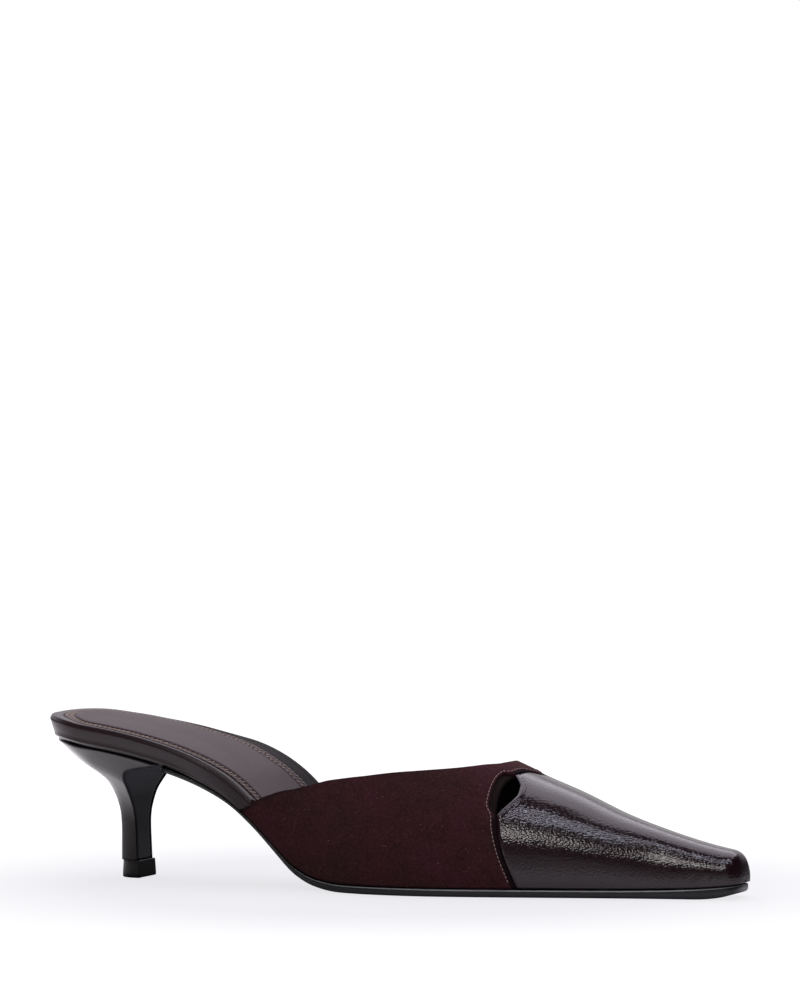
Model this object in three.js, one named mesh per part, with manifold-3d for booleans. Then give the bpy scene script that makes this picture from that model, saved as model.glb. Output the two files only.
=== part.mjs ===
// A right-foot kitten-heel mule: a long squared toe in smooth leather, a suede band over the instep,
// a keyhole between the two on each side, a leather-wrapped insole platform, a thin black outsole and
// a slim flared heel with a black breast panel and a black tip.
// Millimetres. X runs from the heel's back to the toe, Y to the inner side of the foot, Z up.
import * as THREE from 'three';
import { mergeVertices } from 'three/addons/utils/BufferGeometryUtils.js';
import Module from 'manifold-3d';

const wasm = await Module();
wasm.setup();

// Overall sizes
const shoeLength = 267;
const heelHeight = 50.6;
const seatWidth = 54.4;
const waistWidth = 49.2;
const ballWidth = 73;
const toeWidth = 19;
const throatHeight = 42;
const toeHeight = 10.6;

// Sole, platform and sock
const soleThickness = 2.9;
const shankThickness = 1.3;
const toeEdgeThickness = 1.7;
const soleEdgeBevel = 0.6;
const toeSpring = 2.6;
const toeOverhang = 0.7;
const ballSkew = 10.5;
const platformThickness = 6.6;
const waistThinning = 0.8;
const innerLift = 1.8;
const forefootThickness = 3;
const platformCrown = 1.5;
const crownRun = 3;
const sockRecess = 1.1;
const sockThickness = 0.8;
const padLift = 0.5;
const sockMargin = 3.4;
const padMargin = 8;

// Upper
const upperWall = 1.4;
const suedeThickness = 1.1;
const suedeProud = 0.3;
const toeFeather = 0.9;
const tipFeather = -0.3;
const suedeFeather = 1.1;
const waistFeather = 0.8;
const collarBack = 84;
const throatPoint = 178.8;
const bandFront = 190;
const crestGirth = 0.53;

// Heel
const heelSeatLength = 49;
const heelSeatInset = 2.7;
const seatSideInset = 1;
const stemBack = 27.1;
const stemFront = 34.9;
const stemHalfWidth = 6.2;
const tipHeight = 6;
const tipOverhang = 0.8;
const panelDepth = 1;
const panelLip = 0.9;
const panelTop = 0.98;

// Clearances and resolution
const seamGap = 0.3;
const stepClearance = 0.5;
const footClearance = 0.27;
const stations = 38;
const toeRows = 16;
const bandRowCount = 12;

// Plan of the feather edge: place along the shoe, the width that the row follows, and the outer and
// inner half widths as shares of that width.
const planRows = [
  { at: 0, width: seatWidth, outer: 0.5, inner: 0.5 },
  { at: 0.075, width: seatWidth, outer: 0.5, inner: 0.5 },
  { at: 0.131, width: seatWidth, outer: 0.5, inner: 0.498 },
  { at: 0.187, width: seatWidth, outer: 0.493, inner: 0.485 },
  { at: 0.239, width: seatWidth, outer: 0.478, inner: 0.468 },
  { at: 0.292, width: waistWidth, outer: 0.512, inner: 0.497 },
  { at: 0.337, width: waistWidth, outer: 0.52, inner: 0.483 },
  { at: 0.374, width: waistWidth, outer: 0.549, inner: 0.481 },
  { at: 0.411, width: waistWidth, outer: 0.602, inner: 0.504 },
  { at: 0.456, width: ballWidth, outer: 0.455, inner: 0.381 },
  { at: 0.501, width: ballWidth, outer: 0.49, inner: 0.43 },
  { at: 0.546, width: ballWidth, outer: 0.504, inner: 0.469 },
  { at: 0.587, width: ballWidth, outer: 0.496, inner: 0.492 },
  { at: 0.628, width: ballWidth, outer: 0.466, inner: 0.495 },
  { at: 0.673, width: ballWidth, outer: 0.422, inner: 0.471 },
  { at: 0.729, width: ballWidth, outer: 0.362, inner: 0.419 },
  { at: 0.785, width: ballWidth, outer: 0.299, inner: 0.359 },
  { at: 0.841, width: ballWidth, outer: 0.238, inner: 0.296 },
  { at: 0.897, width: ballWidth, outer: 0.184, inner: 0.233 },
  { at: 0.942, width: toeWidth, outer: 0.568, inner: 0.716 },
  { at: 0.972, width: toeWidth, outer: 0.495, inner: 0.611 },
  { at: 1, width: toeWidth, outer: 0.453, inner: 0.547 },
];

// Side line of the last's underside: its rise from the ball to the seat.
const riseRows = [
  { at: 0, rise: 1 },
  { at: 0.037, rise: 0.99 },
  { at: 0.075, rise: 0.964 },
  { at: 0.131, rise: 0.916 },
  { at: 0.187, rise: 0.845 },
  { at: 0.239, rise: 0.75 },
  { at: 0.292, rise: 0.6 },
  { at: 0.329, rise: 0.434 },
  { at: 0.366, rise: 0.245 },
  { at: 0.396, rise: 0.108 },
  { at: 0.43, rise: 0.032 },
  { at: 0.471, rise: 0.002 },
  { at: 0.509, rise: 0 },
  { at: 1, rise: 0 },
];

// Height of the upper above the feather edge, and the roundness of its section: 2 is an ellipse.
const heightRows = [
  { at: 0.3, follows: throatHeight, share: 1.24, power: 2.1 },
  { at: 0.375, follows: throatHeight, share: 1.42, power: 2.1 },
  { at: 0.449, follows: throatHeight, share: 1.43, power: 2.1 },
  { at: 0.524, follows: throatHeight, share: 1.34, power: 2.1 },
  { at: 0.599, follows: throatHeight, share: 1.185, power: 2.12 },
  { at: 0.673, follows: throatHeight, share: 1.012, power: 2.15 },
  { at: 0.71, follows: throatHeight, share: 0.912, power: 2.18 },
  { at: 0.763, follows: throatHeight, share: 0.787, power: 2.22 },
  { at: 0.826, follows: throatHeight, share: 0.61, power: 2.3 },
  { at: 0.89, follows: throatHeight, share: 0.468, power: 2.4 },
  { at: 0.931, follows: throatHeight, share: 0.383, power: 2.45 },
  { at: 0.972, follows: toeHeight, share: 1.2, power: 2.5 },
  { at: 1, follows: toeHeight, share: 1, power: 2.5 },
];

// Collar line by girth, 0 at the feather edge and 0.5 on the ridge: share of the way from the
// collar's back to the throat, on the outer and the inner side.
const collarRows = [
  { girth: 0, outer: 0, inner: 0.12 },
  { girth: 0.04, outer: 0.05, inner: 0.15 },
  { girth: 0.08, outer: 0.11, inner: 0.2 },
  { girth: 0.147, outer: 0.228, inner: 0.31 },
  { girth: 0.19, outer: 0.345, inner: 0.45 },
  { girth: 0.226, outer: 0.53, inner: 0.62 },
  { girth: 0.277, outer: 0.73, inner: 0.79 },
  { girth: 0.33, outer: 0.86, inner: 0.885 },
  { girth: 0.375, outer: 0.925, inner: 0.94 },
  { girth: 0.44, outer: 0.985, inner: 0.988 },
  { girth: 0.5, outer: 1, inner: 1 },
];

// Front edge of the suede band by girth, 0.5 on its crest: distance behind its foremost point.
const bandRows = [
  { girth: 0, back: 0 },
  { girth: 0.088, back: 5 },
  { girth: 0.162, back: 7.9 },
  { girth: 0.25, back: 9.1 },
  { girth: 0.311, back: 8.8 },
  { girth: 0.349, back: 8 },
  { girth: 0.394, back: 6.2 },
  { girth: 0.432, back: 5 },
  { girth: 0.455, back: 3.6 },
  { girth: 0.475, back: 1.8 },
  { girth: 0.49, back: 0.5 },
  { girth: 0.5, back: 0 },
];

// Rear edge of the toe leather across the keyhole: distance in front of the band's edge.
const keyholeRows = [
  { girth: 0.184, gap: 0.3 },
  { girth: 0.212, gap: 2.6 },
  { girth: 0.255, gap: 5.6 },
  { girth: 0.292, gap: 6.8 },
  { girth: 0.326, gap: 6.2 },
  { girth: 0.354, gap: 3.9 },
  { girth: 0.382, gap: 0.3 },
];

// Heel outline by level, 0 above the tip and 1 under the seat: the way from the stem's back out to
// the seat's back, the way from the breast forward to the seat's front, and the widening of the side.
const heelRows = [
  { level: 0, back: 0, front: 0, side: 0, seat: 0 },
  { level: 0.25, back: 0, front: -0.024, side: 0, seat: 0 },
  { level: 0.385, back: 0.015, front: -0.035, side: 0.01, seat: 0.02 },
  { level: 0.49, back: 0.06, front: -0.04, side: 0.06, seat: 0.06 },
  { level: 0.595, back: 0.135, front: -0.04, side: 0.18, seat: 0.15 },
  { level: 0.652, back: 0.19, front: -0.04, side: 0.27, seat: 0.22 },
  { level: 0.705, back: 0.275, front: -0.034, side: 0.37, seat: 0.32 },
  { level: 0.757, back: 0.4, front: -0.012, side: 0.495, seat: 0.45 },
  { level: 0.815, back: 0.56, front: 0.03, side: 0.65, seat: 0.6 },
  { level: 0.867, back: 0.7, front: 0.1, side: 0.75, seat: 0.75 },
  { level: 0.948, back: 0.885, front: 0.42, side: 0.87, seat: 0.93 },
  { level: 1, back: 1, front: 1, side: 1, seat: 1 },
];

// Smooth curve through a table's column that never overshoots its rows.
function curve(rows, key, column) {
  const xs = rows.map((row) => row[key]);
  const ys = rows.map(typeof column === 'function' ? column : (row) => row[column]);
  const last = xs.length - 1;
  const steps = xs.slice(1).map((x, i) => x - xs[i]);
  const slopes = steps.map((step, i) => (ys[i + 1] - ys[i]) / step);
  const tangents = xs.map((_, i) => {
    if (i === 0) return slopes[0];
    if (i === last) return slopes[last - 1];
    const [before, after] = [slopes[i - 1], slopes[i]];
    if (before * after <= 0) return 0;
    const heavy = 2 * steps[i] + steps[i - 1];
    const light = steps[i] + 2 * steps[i - 1];
    return (heavy + light) / (heavy / before + light / after);
  });
  return (value) => {
    const x = THREE.MathUtils.clamp(value, xs[0], xs[last]);
    let i = 0;
    while (i < last - 1 && x > xs[i + 1]) i += 1;
    const t = (x - xs[i]) / steps[i];
    const rest = 1 - t;
    return (1 + 2 * t) * rest * rest * ys[i] + t * rest * rest * steps[i] * tangents[i]
      + t * t * (3 - 2 * t) * ys[i + 1] - t * t * rest * steps[i] * tangents[i + 1];
  };
}

const smooth = THREE.MathUtils.smoothstep;
const lerp = THREE.MathUtils.lerp;
const outerHalf = curve(planRows, 'at', (row) => row.outer * row.width);
const innerHalf = curve(planRows, 'at', (row) => row.inner * row.width);
const riseAt = curve(riseRows, 'at', 'rise');
const heightAt = curve(heightRows, 'at', (row) => row.share * row.follows);
const powerAt = curve(heightRows, 'at', 'power');
const outerCollar = curve(collarRows, 'girth', 'outer');
const innerCollar = curve(collarRows, 'girth', 'inner');
const bandBack = curve(bandRows, 'girth', 'back');
const keyholeGap = curve(keyholeRows, 'girth', 'gap');

function span(from, to, steps) {
  return Array.from({ length: steps + 1 }, (_, i) => lerp(from, to, i / steps));
}

// Falls from 1 to 0 over a run, as a rounded end does.
function roundEnd(distance, run, power) {
  const t = THREE.MathUtils.clamp(1 - distance / run, 0, 1);
  return (1 - t ** power) ** (1 / power);
}

const seatRoundness = { run: seatWidth / 2, power: 2.05 };
const toeRoundness = { run: toeWidth * 0.4, power: 3 };
const toeBrow = { run: toeHeight * 0.55, power: 2.8 };
const soleEnd = shoeLength - toeOverhang;

// Half width of the feather edge. A positive side is the inner one.
function halfWidth(x, side) {
  const half = side < 0 ? outerHalf(x / shoeLength) : innerHalf(x / shoeLength);
  return half * roundEnd(x, seatRoundness.run, seatRoundness.power)
    * roundEnd(soleEnd - x, toeRoundness.run, toeRoundness.power);
}

// Height of the line where the outsole ends and the platform, heel seat and upper begin. The ball
// line is oblique, so the inner side of the shank comes down further forward than the outer side.
function featherHeight(x, y = 0) {
  const share = x / shoeLength;
  const spring = THREE.MathUtils.clamp((share - 0.73) / 0.27, 0, 1) ** 4;
  const inner = THREE.MathUtils.clamp(y / innerHalf(share), 0, 1.1);
  const skew = ballSkew * smooth(share, 0.19, 0.32) * inner ** 1.25;
  return soleThickness + (heelHeight - soleThickness) * riseAt((x - skew) / shoeLength) + toeSpring * spring;
}

// Places along the shoe that every outline shares: close at both ends and at the bend behind the ball.
const bend = { from: 0.35 * shoeLength, to: 0.48 * shoeLength, steps: 7 };
const stationList = [
  ...Array.from({ length: stations + 1 }, (_, i) => (shoeLength * (1 - Math.cos((Math.PI * i) / stations))) / 2)
    .filter((x) => x < bend.from - 3 || x > bend.to + 3),
  ...span(bend.from, bend.to, bend.steps),
].sort((a, b) => a - b);

// Closed outline from one place along the shoe to another: the outer side forward, the inner side back.
// It is drawn in by an inset, square to its edge.
function outline(from, to, insetAt) {
  const xs = [from, ...stationList.filter((x) => x > from + 0.4 && x < to - 0.2), to];
  const ring = [
    ...xs.map((x) => new THREE.Vector2(x, -halfWidth(x, -1))),
    ...xs.toReversed().map((x) => new THREE.Vector2(x, halfWidth(x, 1))),
  ];
  const count = ring.length;
  return ring.map((point, i) => {
    let before = ring[(i + count - 1) % count];
    let after = ring[(i + 1) % count];
    if (before.distanceTo(point) < 1e-6) before = ring[(i + count - 2) % count];
    if (after.distanceTo(point) < 1e-6) after = ring[(i + 2) % count];
    const run = after.clone().sub(before).normalize();
    const inset = insetAt(point.x, point.y);
    const moved = new THREE.Vector2(point.x - run.y * inset, point.y + run.x * inset);
    moved.x = THREE.MathUtils.clamp(moved.x, from, to);
    return moved;
  });
}

function raise(ring, heightOf) {
  return ring.map((point) => new THREE.Vector3(point.x, point.y, heightOf(point.x, point.y)));
}

// The same outline drawn in towards the middle line, so that a broad face follows its height across.
function shrink(ring, share = 0.4) {
  return ring.map((point) => new THREE.Vector2(point.x, point.y * share));
}

// Triangle list that drops slivers without area.
class Faces {
  constructor() {
    this.points = [];
  }

  triangle(a, b, c) {
    const normal = b.clone().sub(a).cross(c.clone().sub(a));
    const apart = Math.min(a.distanceTo(b), b.distanceTo(c), c.distanceTo(a));
    if (apart < 2e-3 || normal.lengthSq() === 0) return;
    this.points.push(...a.toArray(), ...b.toArray(), ...c.toArray());
  }

  // A bent quad is split along its higher diagonal, so that two faces laid on each other bend alike.
  quad(a, b, c, d) {
    if (a.z + c.z >= b.z + d.z) {
      this.triangle(a, b, c);
      this.triangle(a, c, d);
    } else {
      this.triangle(b, c, d);
      this.triangle(b, d, a);
    }
  }

  geometry() {
    const made = new THREE.BufferGeometry();
    made.setAttribute('position', new THREE.Float32BufferAttribute(this.points, 3));
    return mergeVertices(made, 1e-3);
  }
}

// Solid through stacked closed loops, bottom first, each with as many points. Its two ends are closed
// by rungs from the outer side to the inner side.
function loft(loops) {
  const faces = new Faces();
  const count = loops[0].length;
  for (let level = 0; level < loops.length - 1; level += 1) {
    for (let i = 0; i < count; i += 1) {
      const next = (i + 1) % count;
      faces.quad(loops[level][i], loops[level][next], loops[level + 1][next], loops[level + 1][i]);
    }
  }
  const top = loops[loops.length - 1];
  const bottom = loops[0];
  for (let i = 0; i < count / 2 - 1; i += 1) {
    const mate = count - 1 - i;
    faces.quad(top[i], top[i + 1], top[mate - 1], top[mate]);
    faces.quad(bottom[i], bottom[mate], bottom[mate - 1], bottom[i + 1]);
  }
  return faces.geometry();
}

// Solid wall between two grids of points. Rows run from the front to the collar, columns from the outer
// feather edge over the ridge to the inner one. A closed front is filled in between the two sides.
function wall(outer, inner, closedFront) {
  const faces = new Faces();
  const rows = outer.length - 1;
  const columns = outer[0].length - 1;
  for (let i = 0; i < rows; i += 1) {
    for (let j = 0; j < columns; j += 1) {
      faces.quad(outer[i][j], outer[i][j + 1], outer[i + 1][j + 1], outer[i + 1][j]);
      faces.quad(inner[i][j], inner[i + 1][j], inner[i + 1][j + 1], inner[i][j + 1]);
    }
    faces.quad(outer[i][0], outer[i + 1][0], inner[i + 1][0], inner[i][0]);
    faces.quad(outer[i][columns], inner[i][columns], inner[i + 1][columns], outer[i + 1][columns]);
  }
  for (let j = 0; j < columns; j += 1) {
    faces.quad(outer[rows][j], outer[rows][j + 1], inner[rows][j + 1], inner[rows][j]);
    if (!closedFront) faces.quad(outer[0][j], inner[0][j], inner[0][j + 1], outer[0][j + 1]);
  }
  if (closedFront) {
    for (let j = 0; j < columns / 2; j += 1) {
      const mate = columns - j;
      faces.quad(outer[0][j], outer[0][mate], outer[0][mate - 1], outer[0][j + 1]);
      faces.quad(inner[0][j], inner[0][j + 1], inner[0][mate - 1], inner[0][mate]);
    }
    faces.quad(outer[0][0], inner[0][0], inner[0][columns], outer[0][columns]);
  }
  return faces.geometry();
}

// manifold-3d solid from a closed geometry, and back.
function solid(geometry) {
  return new wasm.Manifold(new wasm.Mesh({
    numProp: 3,
    vertProperties: new Float32Array(geometry.attributes.position.array),
    triVerts: new Uint32Array(geometry.index.array),
  }));
}

function geometryOf(manifold) {
  const mesh = manifold.getMesh();
  const made = new THREE.BufferGeometry();
  made.setAttribute('position', new THREE.Float32BufferAttribute(mesh.vertProperties, 3));
  made.setIndex(new THREE.BufferAttribute(mesh.triVerts, 1));
  return made;
}

// How far the upper's foot lies inside the outsole's edge: at the waist, under the suede, at the toe
// leather and at the very tip.
function feather(x) {
  const tip = lerp(toeFeather, tipFeather, smooth(x, shoeLength - 32, shoeLength - 5));
  const band = lerp(suedeFeather, tip, smooth(x, bandFront - 8, bandFront + 8));
  return lerp(waistFeather, band, smooth(x, collarBack, collarBack + 45));
}

// Point of the toe leather's outer face, or of a face that lies further out by an offset. Girth runs
// from 0 at the outer feather edge, over the ridge at 0.5, to 1. Past either end it runs straight down.
function upperPoint(x, girth, offset) {
  const share = x / shoeLength;
  const clamped = THREE.MathUtils.clamp(girth, 0, 1);
  const angle = Math.PI * clamped;
  const side = girth < 0.5 ? -1 : 1;
  const end = shoeLength + offset;
  const power = 2 / powerAt(share);
  const across = Math.max(Math.abs(Math.cos(angle)), 1e-9) ** power;
  const up = Math.max(Math.sin(angle), 1e-9) ** power;
  const full = (side < 0 ? outerHalf(share) : innerHalf(share)) - feather(x) + offset;
  const half = full * roundEnd(end - x, toeRoundness.run, toeRoundness.power);
  const height = (heightAt(share) + offset) * roundEnd(end - x, toeBrow.run, toeBrow.power);
  const bulge = 1 + 0.03 * Math.sin(Math.PI * THREE.MathUtils.clamp(up / 0.7, 0, 1));
  const y = side * across * half * bulge;
  const below = (clamped - girth) * side * 100;
  return new THREE.Vector3(x, y, featherHeight(x, y) + footClearance + up * height + below);
}

function collarAt(girth) {
  const share = girth < 0.5 ? outerCollar(girth) : innerCollar(1 - girth);
  return lerp(collarBack, throatPoint, share);
}

// The band's crest lies a little to the inner side, so each side is stretched or pressed to reach it.
function fromCrest(girth) {
  return girth <= crestGirth ? (0.5 * girth) / crestGirth : (0.5 * (1 - girth)) / (1 - crestGirth);
}

function bandEdge(girth) {
  return bandFront - bandBack(fromCrest(girth));
}

// Behind this line the upper is sunk, so that the suede lies almost flush with the toe leather.
function stepLine(girth) {
  return bandEdge(girth) + stepClearance;
}

const bandSink = suedeThickness + seamGap - suedeProud;
const level = (offset) => () => offset;
const liningOffset = (x) => -upperWall - bandSink * (1 - smooth(x, bandFront, bandFront + 25));
const upperTip = (offset) => () => shoeLength + offset - 0.02;
const shellGirths = [
  ...span(0, crestGirth - 0.12, 8),
  ...span(crestGirth - 0.12, crestGirth + 0.12, 8).slice(1),
  ...span(crestGirth + 0.12, 1, 8).slice(1),
];

// Grid of upper points between two lines that cross the upper, front line first.
function upperGrid(frontAt, rearAt, offsetAt, rows, girths, ease = 1) {
  return Array.from({ length: rows + 1 }, (_, i) => girths.map((girth) => {
    const x = lerp(frontAt(girth), rearAt(girth), (i / rows) ** ease);
    return upperPoint(x, girth, offsetAt(x));
  }));
}

function buildKeyholeCutter(side) {
  const first = keyholeRows[0].girth;
  const last = keyholeRows[keyholeRows.length - 1].girth;
  const steps = span(first, last, 14);
  const girths = side < 0
    ? steps.map((girth) => girth * 2 * crestGirth)
    : steps.map((girth) => 1 - girth * 2 * (1 - crestGirth)).reverse();
  const front = (girth) => bandEdge(girth) + keyholeGap(fromCrest(girth));
  const reach = 3;
  return solid(wall(
    upperGrid(front, bandEdge, level(reach), 3, girths),
    upperGrid(front, bandEdge, level(-upperWall - bandSink - reach), 3, girths),
    false,
  ));
}

// The whole shell from the tip to a rear line: the toe part, then the part behind the step line.
function shellGrid(offsets, rearAt, girths, stepGap = 0) {
  const toeEnd = (girth) => stepLine(girth) + stepGap;
  return [
    ...upperGrid(upperTip(offsets.tip), toeEnd, offsets.toe, toeRows, girths, 2),
    ...upperGrid(stepLine, rearAt, offsets.band, bandRowCount, girths),
  ];
}

function buildUpper() {
  const shell = solid(wall(
    shellGrid({ tip: 0, toe: level(0), band: level(-bandSink) }, collarAt, shellGirths),
    shellGrid({ tip: -upperWall, toe: liningOffset, band: liningOffset }, collarAt, shellGirths, 1),
    true,
  ));
  return geometryOf(shell.subtract(buildKeyholeCutter(-1)).subtract(buildKeyholeCutter(1)));
}

function buildSuedeBand() {
  return wall(
    upperGrid(bandEdge, collarAt, level(suedeProud), bandRowCount, shellGirths),
    upperGrid(bandEdge, collarAt, level(suedeProud - suedeThickness), bandRowCount, shellGirths),
    false,
  );
}

// Everything that the upper and the band take up and what lies outside them, with a gap round them,
// down through the platform.
function buildUpperClearance() {
  const girths = [-0.02, ...shellGirths, 1.02];
  const outside = level(3);
  const inside = (x) => liningOffset(x) - seamGap;
  const rear = (girth) => collarAt(THREE.MathUtils.clamp(girth, 0, 1)) - seamGap;
  return solid(wall(
    shellGrid({ tip: 3, toe: outside, band: outside }, rear, girths, 1),
    shellGrid({ tip: -upperWall - seamGap, toe: inside, band: inside }, rear, girths, 1),
    true,
  ));
}

// Draws the platform's underside in towards the heel, more at the back than along the sides.
function seatInset(x) {
  return lerp(heelSeatInset, seatSideInset, smooth(x, 0, seatWidth * 0.55));
}

// How far along the platform has thinned from the open rear to the part inside the upper.
function covered(x) {
  return smooth(x, collarBack + 2, collarBack + 40);
}

// Height of the platform's leather, a given distance in from its edge: a rolled edge, then level.
function platformTop(x, y, inset) {
  const rim = platformThickness - waistThinning * smooth(x, 50, collarBack);
  const roll = Math.sin((Math.PI / 2) * Math.min(inset / crownRun, 1));
  const crown = (platformCrown + waistThinning * smooth(x, 50, collarBack)) * roll;
  const inner = THREE.MathUtils.clamp(y / innerHalf(x / shoeLength), 0, 1);
  const lift = innerLift * lerp(0.55, 1, smooth(x, 30, 60)) * inner;
  return featherHeight(x, y) + seamGap / 2 + lerp(rim + crown + lift, forefootThickness, covered(x));
}

function sockFloor(x, y) {
  return platformTop(x, y, crownRun) - lerp(sockRecess, seamGap, covered(x));
}

// Distance of the sock's edge from the platform's edge: more behind the heel and at the inner waist.
function sockInset(x, y, further) {
  const behind = 1.8 * (1 - smooth(x, 0, 22));
  const waist = y > 0 ? 1.8 * smooth(x, 45, 80) * (1 - smooth(x, 110, 140)) : 0;
  return sockMargin + behind + waist + 1.4 * smooth(x, collarBack - 24, collarBack - 2) + further;
}

function buildPlatform() {
  const end = shoeLength - toeFeather;
  const hidden = (x) => 1.6 * smooth(x, collarBack + 4, collarBack + 25);
  const under = outline(0, end, (x) => seatInset(x) * (1 - smooth(x, 60, collarBack)) + hidden(x));
  const base = (x, y) => featherHeight(x, y) + seamGap / 2;
  const rolled = [0, 0.4, 1.2, crownRun].map((inset) => (
    raise(outline(0, end, (x) => hidden(x) + inset), (x, y) => platformTop(x, y, inset))
  ));
  const recess = outline(0, end, (x, y) => sockInset(x, y, -seamGap));
  const loops = [
    raise(shrink(under), base),
    raise(shrink(under, 0.72), base),
    raise(under, base),
    ...rolled,
    raise(recess, (x, y) => platformTop(x, y, crownRun)),
    raise(recess, sockFloor),
    raise(shrink(recess), sockFloor),
  ];
  return geometryOf(solid(loft(loops)).subtract(buildUpperClearance()));
}

function buildSock() {
  const end = shoeLength - toeFeather;
  const lift = (above) => (x, y) => sockFloor(x, y) + seamGap + above;
  const padFace = (x, y) => lift(sockThickness)(x, y) + padLift * (1 - covered(x));
  const padInset = (x) => (padMargin - sockMargin - 1) * (1 - covered(x));
  const edge = outline(0, end, (x, y) => sockInset(x, y, 0));
  const padFoot = outline(0, end, (x, y) => sockInset(x, y, padInset(x) + 0.5));
  const padTop = outline(0, end, (x, y) => sockInset(x, y, padInset(x) + 1.5));
  return loft([
    raise(shrink(edge), lift(0)),
    raise(edge, lift(0)),
    raise(edge, lift(sockThickness)),
    raise(padFoot, lift(sockThickness)),
    raise(padTop, padFace),
    raise(shrink(padTop), padFace),
  ]);
}

function buildOutsole() {
  const rear = heelSeatLength + heelSeatInset + seamGap;
  const ballStart = 0.46 * shoeLength;
  const inset = (x) => 2 * (1 - smooth(x, 0.3 * shoeLength, 0.42 * shoeLength));
  const thickness = (x) => {
    const ball = lerp(shankThickness, soleThickness, smooth(x, 0.33 * shoeLength, ballStart));
    return lerp(ball, toeEdgeThickness, smooth(x, 0.84 * shoeLength, shoeLength));
  };
  const top = (x, y) => featherHeight(x, y) - seamGap / 2;
  const bottom = (x, y) => featherHeight(x, y) - thickness(x);
  const tread = outline(rear, soleEnd, (x) => inset(x) + soleEdgeBevel);
  const edge = outline(rear, soleEnd, inset);
  const welt = outline(rear, soleEnd, (x) => inset(x) + seamGap);
  return loft([
    raise(shrink(tread), bottom),
    raise(tread, bottom),
    raise(edge, (x, y) => bottom(x, y) + Math.min(soleEdgeBevel, thickness(x) / 3)),
    raise(edge, (x, y) => top(x, y) - seamGap),
    raise(welt, top),
    raise(shrink(welt, 0.72), top),
    raise(shrink(welt), top),
  ]);
}

// One level of the heel: a rounded back that turns into the seat's outline, and a straight breast.
const heelBack = curve(heelRows, 'level', 'back');
const heelFront = curve(heelRows, 'level', 'front');
const heelSide = curve(heelRows, 'level', 'side');
const heelSeat = curve(heelRows, 'level', 'seat');
const backSteps = 14;

function breastAt(level) {
  return lerp(stemFront, heelSeatLength + heelSeatInset, heelFront(level));
}

function breastHalf(level) {
  return lerp(stemHalfWidth, halfWidth(heelSeatLength, 1) - seatSideInset, heelSide(level));
}

function heelLevel(level, seatX) {
  return lerp(tipHeight + seamGap, featherHeight(seatX) - seamGap / 2, level);
}

function heelLoop(level) {
  const back = lerp(stemBack, heelSeatInset, heelBack(level));
  const front = breastAt(level);
  const half = breastHalf(level);
  const sideLine = (side) => Array.from({ length: backSteps + 1 }, (_, i) => {
    const turn = (Math.PI / 2) * (i / backSteps);
    const stem = new THREE.Vector2(1 - Math.cos(turn), Math.sin(turn) ** 0.9);
    const edge = heelSeatInset + heelSeatLength * stem.x;
    const seat = new THREE.Vector2(stem.x, seatHalf(edge, side) / seatHalf(heelSeatInset + heelSeatLength, side));
    const shape = stem.lerp(seat, heelSeat(level));
    return new THREE.Vector2(lerp(back, front, shape.x), side * half * shape.y);
  });
  const ring = [...sideLine(-1), ...sideLine(1).reverse()];
  return ring.map((point) => {
    const along = THREE.MathUtils.clamp((point.x - back) / (front - back), 0, 1);
    return new THREE.Vector3(point.x, point.y, heelLevel(level, heelSeatInset + heelSeatLength * along));
  });
}

// Half width of the heel's seat, which starts further forward than the platform above it.
function seatHalf(x, side) {
  const within = roundEnd(x - heelSeatInset, seatRoundness.run - seatSideInset, seatRoundness.power);
  return ((side < 0 ? outerHalf(x / shoeLength) : innerHalf(x / shoeLength)) - seatSideInset) * within;
}

// Grid over the breast at a list of levels, inside its side edges by a lip and behind its face by a
// depth.
function breastGrid(levels, lip, depth) {
  const seatX = heelSeatInset + heelSeatLength;
  const stemHeight = heelLevel(1, seatX) - heelLevel(0, seatX);
  const step = 0.01;
  return levels.map((level) => {
    const run = (breastAt(level + step) - breastAt(level - step)) / (2 * step * stemHeight);
    const slope = Math.hypot(1, run);
    const half = breastHalf(level) - lip;
    const x = breastAt(level) - depth / slope;
    const z = heelLevel(level, seatX) + (depth * run) / slope;
    return span(-half, half, 4).map((y) => new THREE.Vector3(x, y, z));
  });
}

const panelLevels = [0.012, ...span(0.2, 0.7, 5), ...span(0.7, panelTop, 9).slice(1)];

function buildHeel() {
  const levels = [-0.1, ...panelLevels.slice(1), panelTop + 0.012];
  const lip = panelLip - 1.5 * seamGap;
  const recess = wall(breastGrid(levels, lip, -1.5), breastGrid(levels, lip, panelDepth), false);
  return geometryOf(solid(loft(span(0, 1, 17).map(heelLoop))).subtract(solid(recess)));
}

function buildBreastPanel() {
  return wall(
    breastGrid(panelLevels, panelLip, 0.15),
    breastGrid(panelLevels, panelLip, panelDepth - seamGap),
    false,
  );
}

function buildTip() {
  const loopAt = (z, grow) => heelLoop(0).map((point) => {
    const centre = (stemBack + stemFront) / 2;
    const scale = 1 + grow / stemHalfWidth;
    return new THREE.Vector3(centre + (point.x - centre) * scale + grow / 2, point.y * scale, z);
  });
  return loft([
    loopAt(0, tipOverhang * 0.8),
    loopAt(0.5, tipOverhang),
    loopAt(tipHeight, tipOverhang / 2),
  ]);
}

const finishes = {
  toeLeather: { color: 0x241a1e, roughness: 0.38, metalness: 0 },
  suede: { color: 0x2e1a1c, roughness: 0.95, metalness: 0 },
  wrapLeather: { color: 0x2f2429, roughness: 0.45, metalness: 0 },
  sockLeather: { color: 0x51464b, roughness: 0.5, metalness: 0 },
  blackEdge: { color: 0x141416, roughness: 0.4, metalness: 0 },
  glossBlack: { color: 0x15161a, roughness: 0.25, metalness: 0 },
  tipRubber: { color: 0x17171a, roughness: 0.55, metalness: 0 },
};

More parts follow.
